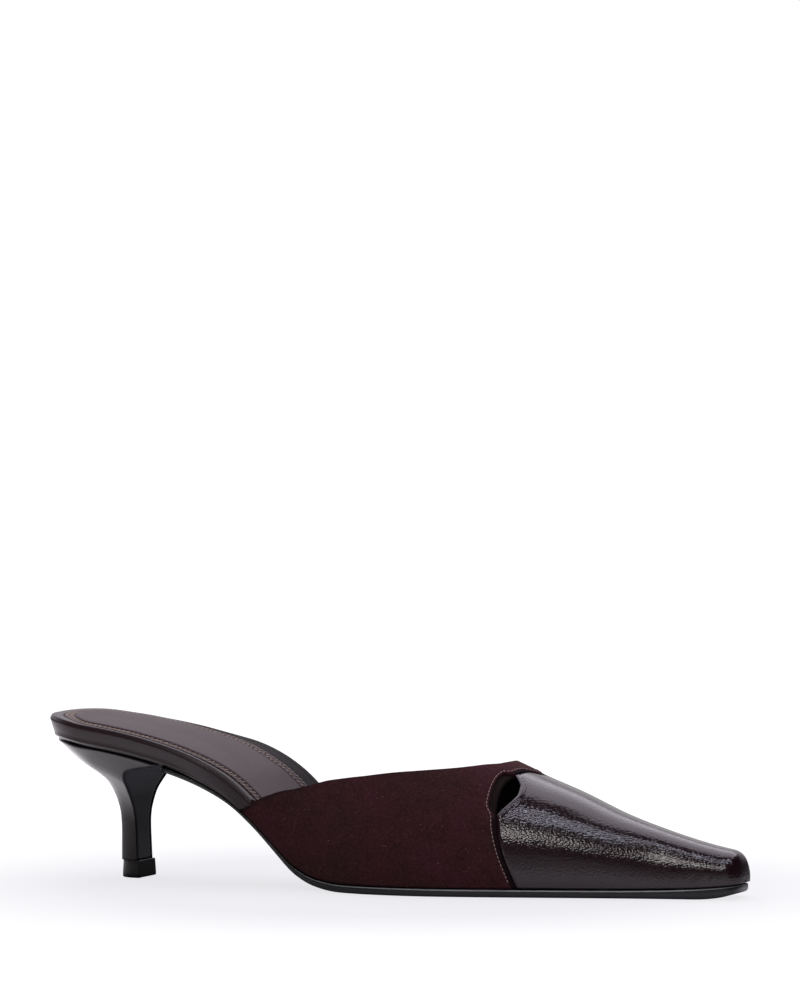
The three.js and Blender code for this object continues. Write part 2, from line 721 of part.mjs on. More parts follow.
const pieces = [
  ['outsole', buildOutsole, finishes.blackEdge],
  ['insole_platform', buildPlatform, finishes.wrapLeather],
  ['sock_lining', buildSock, finishes.sockLeather],
  ['upper', buildUpper, finishes.toeLeather],
  ['suede_band', buildSuedeBand, finishes.suede],
  ['heel', buildHeel, finishes.wrapLeather],
  ['heel_breast_panel', buildBreastPanel, finishes.glossBlack],
  ['heel_tip', buildTip, finishes.tipRubber],
];

const mule = new THREE.Group();
mule.name = 'mule';
for (const [name, build, finish] of pieces) {
  const mesh = new THREE.Mesh(build(), new THREE.MeshStandardMaterial(finish));
  mesh.name = name;
  mule.add(mesh);
}

// The origin is on the floor, under the middle of the shoe.
const extent = new THREE.Box3().setFromObject(mule);
const middle = extent.getCenter(new THREE.Vector3());
mule.position.set(-middle.x, -middle.y, -extent.min.z);

export default mule;
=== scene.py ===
import math

import bmesh
import bpy
import numpy as np
from mathutils import Matrix


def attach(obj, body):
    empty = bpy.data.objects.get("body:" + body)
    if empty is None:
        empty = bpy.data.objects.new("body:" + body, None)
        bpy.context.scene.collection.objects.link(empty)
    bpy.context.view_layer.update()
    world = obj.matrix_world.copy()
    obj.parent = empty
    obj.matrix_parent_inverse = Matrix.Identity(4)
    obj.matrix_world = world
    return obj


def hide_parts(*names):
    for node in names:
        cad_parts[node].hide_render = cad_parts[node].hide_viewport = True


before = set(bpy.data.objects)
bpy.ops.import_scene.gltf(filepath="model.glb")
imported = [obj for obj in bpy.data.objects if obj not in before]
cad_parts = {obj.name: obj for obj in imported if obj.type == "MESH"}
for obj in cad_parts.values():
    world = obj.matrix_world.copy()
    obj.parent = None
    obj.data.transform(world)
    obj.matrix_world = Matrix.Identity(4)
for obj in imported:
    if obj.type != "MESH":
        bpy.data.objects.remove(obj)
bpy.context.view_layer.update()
print("stage: frame loaded")

# Sizes are millimetres in the shoe's own frame: x from the heel's back to the toe, y to the inner
# side, z up. rowShift moves them into the row frame. A size that one piece uses stands beside it.
rowShift = np.array([-133.49, 0.32, 0.0])
shoe = dict(length=267, heelHeight=50.6, seat=54.4, waist=49.2, ball=73, toe=19, toeHeight=10.6)
sole = dict(thick=2.9, shank=1.3, toeEdge=1.7, bevel=0.6, spring=2.6, overhang=0.7, skew=10.5)
skin = dict(wall=1.4, suede=1.1, proud=0.3, back=84, throat=178.8, band=190, crest=0.53)
gap = dict(seam=0.3, foot=0.27)
sink = skin["suede"] + gap["seam"] - skin["proud"]
soleEnd = shoe["length"] - sole["overhang"]


# A curve through a table that never overshoots its rows (monotone cubic).
def curveThrough(xs, ys):
    xs, ys = np.array(xs, float), np.array(ys, float)
    step = np.diff(xs)
    slope = np.diff(ys) / step
    before, after = slope[:-1], slope[1:]
    heavy, light = 2 * step[1:] + step[:-1], step[1:] + 2 * step[:-1]
    turning = before * after > 0
    safe = np.where(turning, before, 1), np.where(turning, after, 1)
    between = np.where(turning, (heavy + light) / (heavy / safe[0] + light / safe[1]), 0)
    tangent = np.concatenate([slope[:1], between, slope[-1:]])

    def at(value):
        x = np.clip(value, xs[0], xs[-1])
        i = np.clip(np.searchsorted(xs, x, side="right") - 1, 0, len(xs) - 2)
        t = (x - xs[i]) / step[i]
        rest = 1 - t
        return ((1 + 2 * t) * rest**2 * ys[i] + t * rest**2 * step[i] * tangent[i]
                + t * t * (3 - 2 * t) * ys[i + 1] - t * t * rest * step[i] * tangent[i + 1])

    return at


# The same curve, softened by a bell-shaped average, so that reflections run over it without kinks.
def fair(curve, low, high, radius):
    fine = np.linspace(low - 4 * radius, high + 4 * radius, 3200)
    inside = np.clip(fine, low, high)
    edge = (high - low) * 1e-4
    slopeLow = (curve(low + edge) - curve(low)) / edge
    slopeHigh = (curve(high) - curve(high - edge)) / edge
    values = curve(inside) + np.where(fine < low, slopeLow, slopeHigh) * (fine - inside)
    reach = int(3 * radius / (fine[1] - fine[0]))
    bell = np.exp(-0.5 * (np.arange(-reach, reach + 1) * (fine[1] - fine[0]) / radius) ** 2)
    soft = np.convolve(values, bell / bell.sum(), mode="same")
    return lambda value: np.interp(value, fine, soft)


# An S-shaped step from 0 at low to 1 at high: 3 t squared less 2 t cubed.
def smooth(x, low, high):
    t = np.clip((x - low) / (high - low), 0, 1)
    return t * t * (3 - 2 * t)


def mix(a, b, t):
    return a + (b - a) * t


# Falls from 1 to 0 over a run, as a rounded end does.
def roundEnd(distance, run, power):
    t = np.clip(1 - distance / run, 0, 1)
    return (1 - t**power) ** (1 / power)


# Plan rows: place along the shoe, the width followed, outer and inner half as shares of it.
planRows = [
    (0, "seat", 0.5, 0.5), (0.075, "seat", 0.5, 0.5), (0.131, "seat", 0.5, 0.498),
    (0.187, "seat", 0.493, 0.485), (0.239, "seat", 0.478, 0.468), (0.292, "waist", 0.512, 0.497),
    (0.337, "waist", 0.52, 0.483), (0.374, "waist", 0.549, 0.481), (0.411, "waist", 0.602, 0.504),
    (0.456, "ball", 0.455, 0.381), (0.501, "ball", 0.49, 0.43), (0.546, "ball", 0.504, 0.469),
    (0.587, "ball", 0.496, 0.492), (0.628, "ball", 0.466, 0.495), (0.673, "ball", 0.422, 0.471),
    (0.729, "ball", 0.362, 0.419), (0.785, "ball", 0.299, 0.359), (0.841, "ball", 0.238, 0.296),
    (0.897, "ball", 0.184, 0.233), (0.942, "toe", 0.568, 0.716), (0.972, "toe", 0.495, 0.611),
    (1, "toe", 0.453, 0.547),
]
planAt = [row[0] for row in planRows]
outerHalf = fair(curveThrough(planAt, [shoe[row[1]] * row[2] for row in planRows]), 0, 1, 0.012)
innerHalf = fair(curveThrough(planAt, [shoe[row[1]] * row[3] for row in planRows]), 0, 1, 0.012)

# Rise rows: place along the shoe, height as a share of the heel's.
riseRows = [(0, 1), (0.037, 0.99), (0.075, 0.964), (0.131, 0.916), (0.187, 0.845), (0.239, 0.75),
            (0.292, 0.6), (0.329, 0.434), (0.366, 0.245), (0.396, 0.108), (0.43, 0.032), (0.471, 0.002),
            (0.509, 0), (1, 0)]
riseAt = fair(curveThrough(*zip(*riseRows)), 0, 1, 0.006)

# Upper rows: place along the shoe, height over the feather edge, roundness of the section.
heightRows = [(0.3, 52.08, 2.1), (0.375, 59.64, 2.1), (0.449, 60.06, 2.1), (0.524, 56.28, 2.1),
              (0.599, 49.77, 2.12), (0.673, 42.5, 2.15), (0.71, 38.3, 2.18), (0.763, 33.05, 2.22),
              (0.826, 25.62, 2.3), (0.89, 19.66, 2.4), (0.931, 16.09, 2.45), (0.972, 12.72, 2.5),
              (1, 10.6, 2.5)]
heightPlaces = [row[0] for row in heightRows]
heightAt = fair(curveThrough(heightPlaces, [row[1] for row in heightRows]), 0.3, 1, 0.012)
powerAt = fair(curveThrough(heightPlaces, [row[2] for row in heightRows]), 0.3, 1, 0.012)

# Collar rows: girth from the feather edge, share of the way from back to throat, outer and inner.
collarRows = [(0, 0, 0.12), (0.04, 0.05, 0.15), (0.08, 0.11, 0.2), (0.147, 0.228, 0.31), (0.19, 0.345, 0.45),
              (0.226, 0.53, 0.62), (0.277, 0.73, 0.79), (0.33, 0.86, 0.885), (0.375, 0.925, 0.94),
              (0.44, 0.985, 0.988), (0.5, 1, 1)]
collarGirths = [row[0] for row in collarRows]
outerCollar = curveThrough(collarGirths, [row[1] for row in collarRows])
innerCollar = curveThrough(collarGirths, [row[2] for row in collarRows])

# Band rows: girth, and how far the suede's front line stands back there.
bandRows = [(0, 0), (0.088, 5), (0.162, 7.9), (0.25, 9.1), (0.311, 8.8), (0.349, 8), (0.394, 6.2),
            (0.432, 5), (0.455, 3.6), (0.475, 1.8), (0.49, 0.5), (0.5, 0)]
bandBack = fair(curveThrough(*zip(*(bandRows + [(1 - g, b) for g, b in bandRows[-2::-1]]))), 0, 1, 0.006)

# Rear edge of the toe leather before the band's edge. Below 0 it lies under the suede.
tuck = 1.6
keyholeRows = [(0, -tuck), (0.17, -tuck), (0.184, 0.3), (0.212, 2.6), (0.255, 5.6), (0.292, 6.8),
               (0.326, 6.2), (0.354, 3.9), (0.382, 0.3), (0.394, -tuck), (0.5, -tuck)]
keyholeGap = curveThrough(*zip(*keyholeRows))


# Half width of the sole on one side: the plan curve, rounded in at the heel and at the toe.
def halfWidth(x, side):
    half = np.where(side < 0, outerHalf(x / shoe["length"]), innerHalf(x / shoe["length"]))
    return half * roundEnd(x, shoe["seat"] / 2, 2.05) * roundEnd(soleEnd - x, shoe["toe"] * 0.4, 3)


# The toe spring: the fourth power of the way from under the ball to the tip.
def toeSpring(share):
    return sole["spring"] * np.clip((share - 0.73) / 0.27, 0, 1) ** 4


# Height of the feather line: the rise, which reaches further forward on the inner side, and the toe spring.
def featherHeight(x, y):
    share = x / shoe["length"]
    inner = np.clip(y / innerHalf(share), 0, 1.1)
    skew = sole["skew"] * smooth(share, 0.19, 0.32) * inner**1.25
    rise = riseAt((x - skew) / shoe["length"])
    return sole["thick"] + (shoe["heelHeight"] - sole["thick"]) * rise + toeSpring(share)


# How far the upper stands in from the plan: stepped smoothly from the back to the band and the tip.
def feather(x):
    tip = mix(0.9, -0.3, smooth(x, shoe["length"] - 32, shoe["length"] - 5))
    band = mix(1.1, tip, smooth(x, skin["band"] - 8, skin["band"] + 8))
    return mix(0.8, band, smooth(x, skin["back"], skin["back"] + 45))


# Point of the upper: a superellipse section, across = cos(angle)^(2/power), up = sin(angle)^(2/power),
# moved out by an offset. Girth runs from 0 at the outer feather over the ridge at 0.5 to 1.
def upperPoint(x, girth, offset):
    x, girth, offset = np.broadcast_arrays(*(np.asarray(value, float) for value in (x, girth, offset)))
    share = x / shoe["length"]
    angle = math.pi * np.clip(girth, 0, 1)
    side = np.where(girth < 0.5, -1.0, 1.0)
    power = 2 / powerAt(share)
    across = np.maximum(np.abs(np.cos(angle)), 1e-9) ** power
    up = np.maximum(np.sin(angle), 1e-9) ** power
    end = shoe["length"] + offset
    full = np.where(side < 0, outerHalf(share), innerHalf(share)) - feather(x) + offset
    half = full * roundEnd(end - x, shoe["toe"] * 0.4, 3)
    height = (heightAt(share) + offset) * roundEnd(end - x, shoe["toeHeight"] * 0.55, 2.8)
    bulge = 1 + 0.03 * np.sin(math.pi * np.clip(up / 0.7, 0, 1))
    y = side * across * half * bulge
    return np.stack([x, y, featherHeight(x, y) + gap["foot"] + up * height], -1)


def collarAt(girth):
    share = np.where(girth < 0.5, outerCollar(girth), innerCollar(1 - girth))
    return mix(skin["back"], skin["throat"], share)


# Girth measured from the crest instead of the ridge, so that the band's peak sits a little inward.
def fromCrest(girth):
    crest = skin["crest"]
    return np.where(girth <= crest, 0.5 * girth / crest, 0.5 + 0.5 * (girth - crest) / (1 - crest))


def bandEdge(girth):
    return skin["band"] - bandBack(fromCrest(girth))


def keyholeAt(girth):
    place = fromCrest(girth)
    return keyholeGap(np.minimum(place, 1 - place))


# Makes one mesh object from points in millimetres and faces. Coinciding points are joined.
def makePiece(name, points, faces, material, marks=None):
    mesh = bpy.data.meshes.new(name)
    mesh.from_pydata(((points.reshape(-1, 3) + rowShift) * 0.001).tolist(), [], faces)
    for key, values in (marks or {}).items():
        mesh.attributes.new(key, "FLOAT", "POINT").data.foreach_set("value", np.ravel(values).astype(float))
    work = bmesh.new()
    work.from_mesh(mesh)
    bmesh.ops.remove_doubles(work, verts=work.verts, dist=2e-6)
    bmesh.ops.dissolve_degenerate(work, edges=work.edges, dist=1e-6)
    bmesh.ops.recalc_face_normals(work, faces=work.faces)
    work.to_mesh(mesh)
    work.free()
    mesh.materials.append(material)
    mesh.polygons.foreach_set("use_smooth", np.ones(len(mesh.polygons), dtype=bool))
    piece = bpy.data.objects.new(name, mesh)
    bpy.context.collection.objects.link(piece)
    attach(piece, "root")
    return piece


# Quads between neighbouring rows and columns of a grid, closed round either way where asked.
def gridFaces(rows, columns, closeRows=False, closeColumns=False):
    i = np.arange(rows if closeRows else rows - 1)
    j = np.arange(columns if closeColumns else columns - 1)
    i, j = np.meshgrid(i, j, indexing="ij")
    iNext, jNext = (i + 1) % rows, (j + 1) % columns
    quads = np.stack([i * columns + j, i * columns + jNext, iNext * columns + jNext, iNext * columns + j], -1)
    return quads.reshape(-1, 4).tolist()


# Closes a wall's two feather edges: row i of the outer face meets its mate on the inner face.
def seamFaces(rows, columns):
    i = np.arange((rows - 1) // 2)
    mate = rows - 1 - i
    first = np.stack([i, i + 1, mate - 1, mate], -1) * columns
    return first.tolist() + (first + columns - 1).tolist()


# Profile of a wall's edge: half a turn from the outer face to the inner one, as steps along and in.
def turnRound(count, thickness):
    angle = np.linspace(0, math.pi, count + 2)[1:-1]
    return thickness / 2 * np.sin(angle), thickness / 2 * (1 - np.cos(angle))


# Materials. Each is a node tree on Object coordinates in metres, with marks of the mesh where named.
def newMaterial(name, base, rough, spec=0.5, sheen=0.0):
    material = bpy.data.materials.new(name)
    material.use_nodes = True
    tree = material.node_tree
    shader = tree.nodes["Principled BSDF"]
    shader.inputs["Base Color"].default_value = (*base, 1)
    shader.inputs["Roughness"].default_value = rough
    shader.inputs["Specular IOR Level"].default_value = spec
    shader.inputs["Sheen Weight"].default_value = sheen
    return material, tree, shader


# A colour given as it looks on a screen, 0 to 255, made linear.
def linear(r, g, b):
    values = np.array([r, g, b]) / 255
    return tuple(np.where(values <= 0.04045, values / 12.92, ((values + 0.055) / 1.055) ** 2.4).tolist())


def grey(value):
    return (value, value, value)


# Adds a node, with its inputs or its own settings by name, and links its first input where one is given.
def addNode(tree, kind, source=None, **settings):
    node = tree.nodes.new(kind)
    for key, value in settings.items():
        if key in node.inputs:
            node.inputs[key].default_value = value
        else:
            setattr(node, key, value)
    if source is not None:
        tree.links.new(source, node.inputs[0])
    return node


def noise(tree, source, scale, detail=3.0, roughness=0.55):
    node = addNode(tree, "ShaderNodeTexNoise", Scale=scale, Detail=detail, Roughness=roughness)
    tree.links.new(source, node.inputs["Vector"])
    return node.outputs["Fac"]


# Distance to the nearest cell point of a plain Voronoi pattern.
def cellDistance(tree, source, scale):
    node = addNode(tree, "ShaderNodeTexVoronoi", Scale=scale)
    tree.links.new(source, node.inputs["Vector"])
    return node.outputs["Distance"]


def ramp(tree, source, stops):
    node = addNode(tree, "ShaderNodeValToRGB", source)
    elements = node.color_ramp.elements
    while len(elements) < len(stops):
        elements.new(0.5)
    for element, (place, colour) in zip(elements, stops):
        element.position = place
        element.color = (*colour, 1)
    return node.outputs["Color"]


def bump(tree, shader, height, strength, distance, before=None):
    node = addNode(tree, "ShaderNodeBump", Strength=strength, Distance=distance)
    tree.links.new(height, node.inputs["Height"])
    if before is not None:
        tree.links.new(before, node.inputs["Normal"])
    tree.links.new(node.outputs["Normal"], shader.inputs["Normal"])
    return node.outputs["Normal"]


def objectPoint(tree):
    return addNode(tree, "ShaderNodeTexCoord").outputs["Object"]


def markOf(tree, name):
    return addNode(tree, "ShaderNodeAttribute", attribute_name=name).outputs["Fac"]


def cameraRay(tree):
    return addNode(tree, "ShaderNodeLightPath").outputs["Is Camera Ray"]


# Mixes two colours by a grey factor.
def mixColour(tree, factor, first, second, mode="MIX"):
    node = addNode(tree, "ShaderNodeMix", data_type="RGBA", blend_type=mode)
    for value, socket in ((factor, node.inputs[0]), (first, node.inputs[6]), (second, node.inputs[7])):
        if isinstance(value, (tuple, float, int)):
            socket.default_value = (*value, 1) if isinstance(value, tuple) else value
        else:
            tree.links.new(value, socket)
    return node.outputs[2]


def multiplied(tree, first, second):
    return mixColour(tree, 1.0, first, second, "MULTIPLY")


# Suede: a matte dark base with mottled nap, tiny light fibre specks, painted shade on its cut edges, and a
# soft sheen. The numbers of suedeLook are patterns to the metre.
suedeLook = dict(blotch=42, cloud=170, nap=1150, fibres=560, few=300, relief=1900)


def suedeMaterial():
    material, tree, shader = newMaterial("suede", linear(52, 28, 30), 0.95, 0.1, sheen=0.12)
    shader.inputs["Sheen Roughness"].default_value = 0.5
    shader.inputs["Sheen Tint"].default_value = (*linear(165, 110, 115), 1)
    point = objectPoint(tree)
    shades = [(0.3, linear(46, 28, 27)), (0.5, linear(50, 27, 29)), (0.7, linear(55, 28, 33))]
    blotch = ramp(tree, noise(tree, point, suedeLook["blotch"], 3), shades)
    cloud = ramp(tree, noise(tree, point, suedeLook["cloud"], 4, 0.7), [(0.3, grey(0.94)), (0.7, grey(1.2))])
    nap = ramp(tree, noise(tree, point, suedeLook["nap"], 4, 0.8), [(0.32, grey(0.58)), (0.68, grey(1.5))])
    dots = cellDistance(tree, point, suedeLook["fibres"])
    speck = ramp(tree, dots, [(0.08, grey(1)), (0.15, grey(0))])
    few = ramp(tree, noise(tree, point, suedeLook["few"], 2), [(0.48, grey(0)), (0.66, grey(1))])
    colour = multiplied(tree, multiplied(tree, blotch, cloud), nap)
    colour = mixColour(tree, multiplied(tree, speck, few), colour, linear(104, 76, 73))
    # Painted shade: the marked cut edges are darkened.
    colour = mixColour(tree, markOf(tree, "black_and_shade"), colour, linear(20, 12, 14))
    tree.links.new(colour, shader.inputs["Base Color"])
    bump(tree, shader, noise(tree, point, suedeLook["relief"], 4, 0.7), 0.55, 0.0003)
    return material


# Leather: round grains of a Voronoi pattern over fine pores, with a slow change of tone. Where it is
# marked, one mark darkens seams and edges, partly as painted shadow, and the other takes the gloss away
# and darkens the colour as painted shade.
def leather(name, base, rough, cells, depth, spec=0.5, marked=False):
    material, tree, shader = newMaterial(name, base, rough, spec)
    point = objectPoint(tree)
    pebble = [(0.0, grey(1)), (0.35, grey(0.75)), (0.75, grey(0))]
    grain = ramp(tree, cellDistance(tree, point, cells), pebble)
    tone = ramp(tree, noise(tree, point, 70, 3), [(0.3, grey(0.86)), (0.7, grey(1.12))])
    colour = multiplied(tree, base, tone)
    if marked:
        # Painted shade: the marks darken seams and edges, and the matte mark also darkens the colour.
        colour = mixColour(tree, markOf(tree, "black_and_shade"), colour, linear(6, 4, 5))
        dull_and_shade = markOf(tree, "dull_and_shade")
        colour = mixColour(tree, dull_and_shade, colour, linear(20, 14, 15))
        tree.links.new(ramp(tree, dull_and_shade, [(0, grey(rough)), (1, grey(0.75))]), shader.inputs["Roughness"])
    tree.links.new(colour, shader.inputs["Base Color"])
    first = bump(tree, shader, grain, 1.0, depth)
    bump(tree, shader, noise(tree, point, cells * 0.8, 2, 0.6), 1.0, depth * 0.5, first)
    return material


def threadMaterial(name, base):
    material, tree, shader = newMaterial(name, base, 0.6, 0.3)
    bump(tree, shader, noise(tree, objectPoint(tree), 5200, 2), 0.5, 0.0001)
    return material


suede = suedeMaterial()
toeLeather = leather("toe_leather", linear(31, 16, 21), 0.13, 1250, 0.000036)
wrapLeather = leather("wrap_leather", linear(34, 21, 24), 0.32, 2300, 0.000015, spec=0.32, marked=True)
heelLeather = leather("heel_leather", linear(26, 17, 20), 0.3, 2300, 0.000015, marked=True)
sockLeather = leather("sock_leather", linear(54, 40, 42), 0.42, 2600, 0.000012, spec=0.13)
liningLeather = leather("lining_leather", linear(26, 17, 16), 0.8, 2200, 0.000015, spec=0.08)
soleBlack = leather("sole_black", linear(16, 17, 18), 0.28, 2600, 0.00001)
breastGloss = leather("breast_gloss", linear(12, 13, 17), 0.12, 2600, 0.000002, spec=0.32)
tipRubber = leather("tip_rubber", linear(13, 13, 15), 0.45, 2600, 0.00001, spec=0.3)
paleThread = threadMaterial("thread_pale", linear(150, 128, 124))
tanThread = threadMaterial("thread_tan", linear(165, 146, 126))
darkThread = threadMaterial("thread_dark", linear(40, 28, 31))


# Painted reflection on the breast: its colour by height as a share of 50 mm, blue-grey over the tip, very
# dark above, grey at the top, stands in for what its gloss mirrors.
def paintBreastReflection():
    tree = breastGloss.node_tree
    height = addNode(tree, "ShaderNodeSeparateXYZ", objectPoint(tree)).outputs["Z"]
    share = addNode(tree, "ShaderNodeMath", height, operation="MULTIPLY")
    share.inputs[1].default_value = 20.0
    stops = [(0.16, linear(32, 33, 42)), (0.42, linear(4, 5, 8)), (0.54, linear(2, 3, 5)),
             (0.62, linear(32, 31, 38)), (0.76, linear(72, 72, 82)), (0.85, linear(40, 40, 48))]
    colour = ramp(tree, share.outputs[0], stops)
    tree.links.new(colour, tree.nodes["Principled BSDF"].inputs["Base Color"])


# Painted highlight on the sole's edge: a paler line along its upper side in the forepart, where light would
# catch it.
def paintSoleHighlight():
    tree = soleBlack.node_tree
    colour = mixColour(tree, markOf(tree, "painted_highlight"), linear(16, 17, 18), linear(128, 129, 133))
    tree.links.new(colour, tree.nodes["Principled BSDF"].inputs["Base Color"])


paintBreastReflection()
paintSoleHighlight()
print("stage: materials")


# Places along the shoe that every outline shares: close at both ends and at the suede's rear corner.
def stationsBetween(low, high, count):
    t = np.linspace(0, 1, count)
    xs = shoe["length"] * (1 - np.cos(math.pi * t)) / 2
    corner = skin["back"] + np.linspace(-3, 18, 70)
    xs = np.sort(np.concatenate([xs[(xs < corner[0] - 0.1) | (xs > corner[-1] + 0.1)], corner]))
    return np.concatenate([[low], xs[(xs > low + 0.15) & (xs < high - 0.15)], [high]])


# Closed outline, outer side forward and inner side back, drawn in square to its edge by an inset.
def outline(low, high, insetAt, count=230):
    xs = stationsBetween(low, high, count)
    ring = np.concatenate([
        np.stack([xs, -halfWidth(xs, -np.ones_like(xs))], -1),
        np.stack([xs[::-1], halfWidth(xs[::-1], np.ones_like(xs))], -1),
    ])

    # The neighbour one step away, or two where the first one coincides.
    def neighbour(step):
        near = np.roll(ring, step, axis=0)
        same = np.linalg.norm(near - ring, axis=1, keepdims=True) < 1e-6
        return np.where(same, np.roll(ring, 2 * step, axis=0), near)

    run = neighbour(-1) - neighbour(1)
    run /= np.linalg.norm(run, axis=1, keepdims=True)
    inset = insetAt(ring[:, 0], ring[:, 1])
    moved = np.stack([ring[:, 0] - run[:, 1] * inset, ring[:, 1] + run[:, 0] * inset], -1)
    moved[:, 0] = np.clip(moved[:, 0], low, high)
    return moved


def raiseRing(ring, heightOf):
    return np.column_stack([ring, heightOf(ring[:, 0], ring[:, 1])])


# Loops inside a ring, its width times each share, that cover it from the middle line out or back in.
outward = (0.04, 0.3, 0.6, 0.85, 0.97)
inward = (0.95, 0.7, 0.3, 0.04)


def coverRing(ring, shares, heightOf):
    return [raiseRing(np.column_stack([ring[:, 0], ring[:, 1] * share]), heightOf) for share in shares]


# A stack of closed loops made a piece, with both ends closed by rungs between the two sides.
def loftPiece(name, points, material, marks=None):
    levels, count = points.shape[:2]
    faces = gridFaces(levels, count, closeColumns=True)
    i = np.arange(count // 2 - 1)
    rungs = np.stack([i, i + 1, count - 2 - i, count - 1 - i], -1)
    faces += rungs[:, ::-1].tolist() + (rungs + (levels - 1) * count).tolist()
    return makePiece(name, points, faces, material, marks=marks)


# Outsole: tread, rounded bevel, side, and an upper edge that slopes in. Each step of the slope is an
# inset and a height below the top.
heelSeat = dict(length=49, inset=2.7, side=1.0)
edgeSteps = ((0, 0.6), (0.06, 0.44), (0.2, 0.28), (0.42, 0.1), (0.6, 0.02), (0.8, 0))
# Loops of the sole's upper edge that carry the painted highlight, and how much.
highlightLoops = {10: 1.0, 11: 1.0, 12: 0.3}


# From shank to ball, plus the toe spring, less a quarter circle's lift towards the tip.
def soleThickness(x):
    share = x / shoe["length"]
    ball = mix(sole["shank"] + 0.6, sole["thick"], smooth(share, 0.33, 0.46))
    turn = np.clip((x / soleEnd - 0.94) / 0.06, 0, 1)
    lifted = (sole["thick"] + sole["spring"] - sole["toeEdge"]) * (1 - np.sqrt(1 - turn**2))
    return ball + toeSpring(share) - lifted


def buildOutsole():
    rear = heelSeat["length"] + heelSeat["inset"] + gap["seam"]
    top = lambda x, y: featherHeight(x, y) - gap["seam"] / 2
    bottom = lambda x, y: featherHeight(x, y) - soleThickness(x)
    bevel = lambda x: np.minimum(sole["bevel"], soleThickness(x) / 3)
    narrow = lambda x: 1.2 * (1 - smooth(x, 0.3 * shoe["length"], 0.42 * shoe["length"]))
    ring = lambda more: outline(rear, soleEnd, lambda x, y: narrow(x) + more)
    tread = ring(sole["bevel"])
    loops = coverRing(tread, outward, bottom) + [raiseRing(tread, bottom)]
    for turn in (0.3, 0.65, 1.0):
        angle = turn * math.pi / 2
        rounded = ring(sole["bevel"] * (1 - math.sin(angle)))
        loops.append(raiseRing(rounded, lambda x, y: bottom(x, y) + bevel(x) * (1 - math.cos(angle))))
    for inset, below in edgeSteps:
        loops.append(raiseRing(ring(inset), lambda x, y: top(x, y) - below))
    loops += coverRing(ring(edgeSteps[-1][0]), inward, top)
    points = np.stack(loops)
    painted_highlight = np.zeros(len(loops))
    for level, share in highlightLoops.items():
        painted_highlight[level] = share
    # Painted highlight: a paler line on those loops, fading in from 110 to 170 mm along the shoe.
    marks = {"painted_highlight": painted_highlight[:, None] * smooth(points[:, :, 0], 110, 170)}
    return loftPiece("sole_black_leather", points, soleBlack, marks=marks)


outsole = buildOutsole()
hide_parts("outsole")


# Insole platform: the wrapped rim, its rolled top edge and the seat for the sock. rimRows go from the
# crest inwards: inset, and the share of the crown not yet reached. seamRows lie at the rim's foot: height
# share, how far out, and how dark: the groove is painted shadow of the gap, partly the sole's dark edge.
deck = dict(thick=6.6, thin=0.8, lift=1.8, front=3, crown=1.5, run=3, heelLift=0.7, swell=0.22)
deckEnd = shoe["length"] - 0.9
rimRows = [(0, 1), (0.3, 0.56), (0.6, 0.16), (0.78, 0.05), (0.95, 0.01), (1.2, 0)]
rimSlant = curveThrough(*zip(*rimRows))
seamRows = ((0.1, 0, 1.0), (0.115, 0, 1.0), (0.12, 0.7, 1.0), (0.128, 0.92, 0.6), (0.15, 1, 0))
wallParts = (0.19, 0.26, 0.36, 0.5, 0.65, 0.8, 0.92)
rimInsets = (0.0, 0.15, 0.3, 0.45, 0.6, 0.7, 0.78, 0.86, 0.95, 1.2, 1.6, 2.1, 2.6, 3.0)


# 0 on the open footbed and 1 where the upper covers it.
def covered(x):
    return smooth(x, skin["back"] + 2, skin["back"] + 40)


def thinnedAt(x):
    return deck["thin"] * smooth(x, 50, skin["back"])


# The feather line plus the rim: its thickness, a quarter sine over the run, and the lift on the inner
# side and at the back. Under the upper it settles to the front's thickness.
def platformTop(x, y, inset):
    roll = np.sin(math.pi / 2 * np.minimum(inset / deck["run"], 1))
    inner = np.clip(y / innerHalf(x / shoe["length"]), 0, 1)
    far = mix(0.55, 1.25, smooth(x, 30, 60)) - 1.15 * smooth(x, 66, 90)
    lift = deck["lift"] * far * inner + deck["heelLift"] * (1 - smooth(x, 3, 22))
    rim = deck["thick"] - thinnedAt(x) + (deck["crown"] + thinnedAt(x)) * roll + lift
    return featherHeight(x, y) + gap["seam"] / 2 + mix(rim, deck["front"], covered(x))


# The rim leans in below its crest, turns over sharply and falls a little to the sock's edge.
def rimTop(x, y, inset):
    crest = (deck["crown"] + thinnedAt(x)) * (1 - covered(x))
    fall = 0.35 * smooth(inset, 1.7, 3.0) * (1 - covered(x)) * smooth(x, 12, 30)
    return platformTop(x, y, deck["run"]) - crest * rimSlant(inset) - fall


# The sock's edge line, in from the outline, and its bed, a recess below the rim.
sockSizes = dict(recess=1.1, thick=0.8, pad=0.75, crown=0.45, margin=3.4, channel=3.6, skive=0.22)


def sockInset(x, y, further):
    behind = 1.8 * (1 - smooth(x, 0, 22))
    waist = np.where(y > 0, 1.8 * smooth(x, 45, 80) * (1 - smooth(x, 110, 140)), 0)
    collar = 1.4 * smooth(x, skin["back"] - 24, skin["back"] - 2)
    return sockSizes["margin"] + behind + waist + collar + further


def sockFloor(x, y):
    return platformTop(x, y, deck["run"]) - mix(sockSizes["recess"], gap["seam"], covered(x))
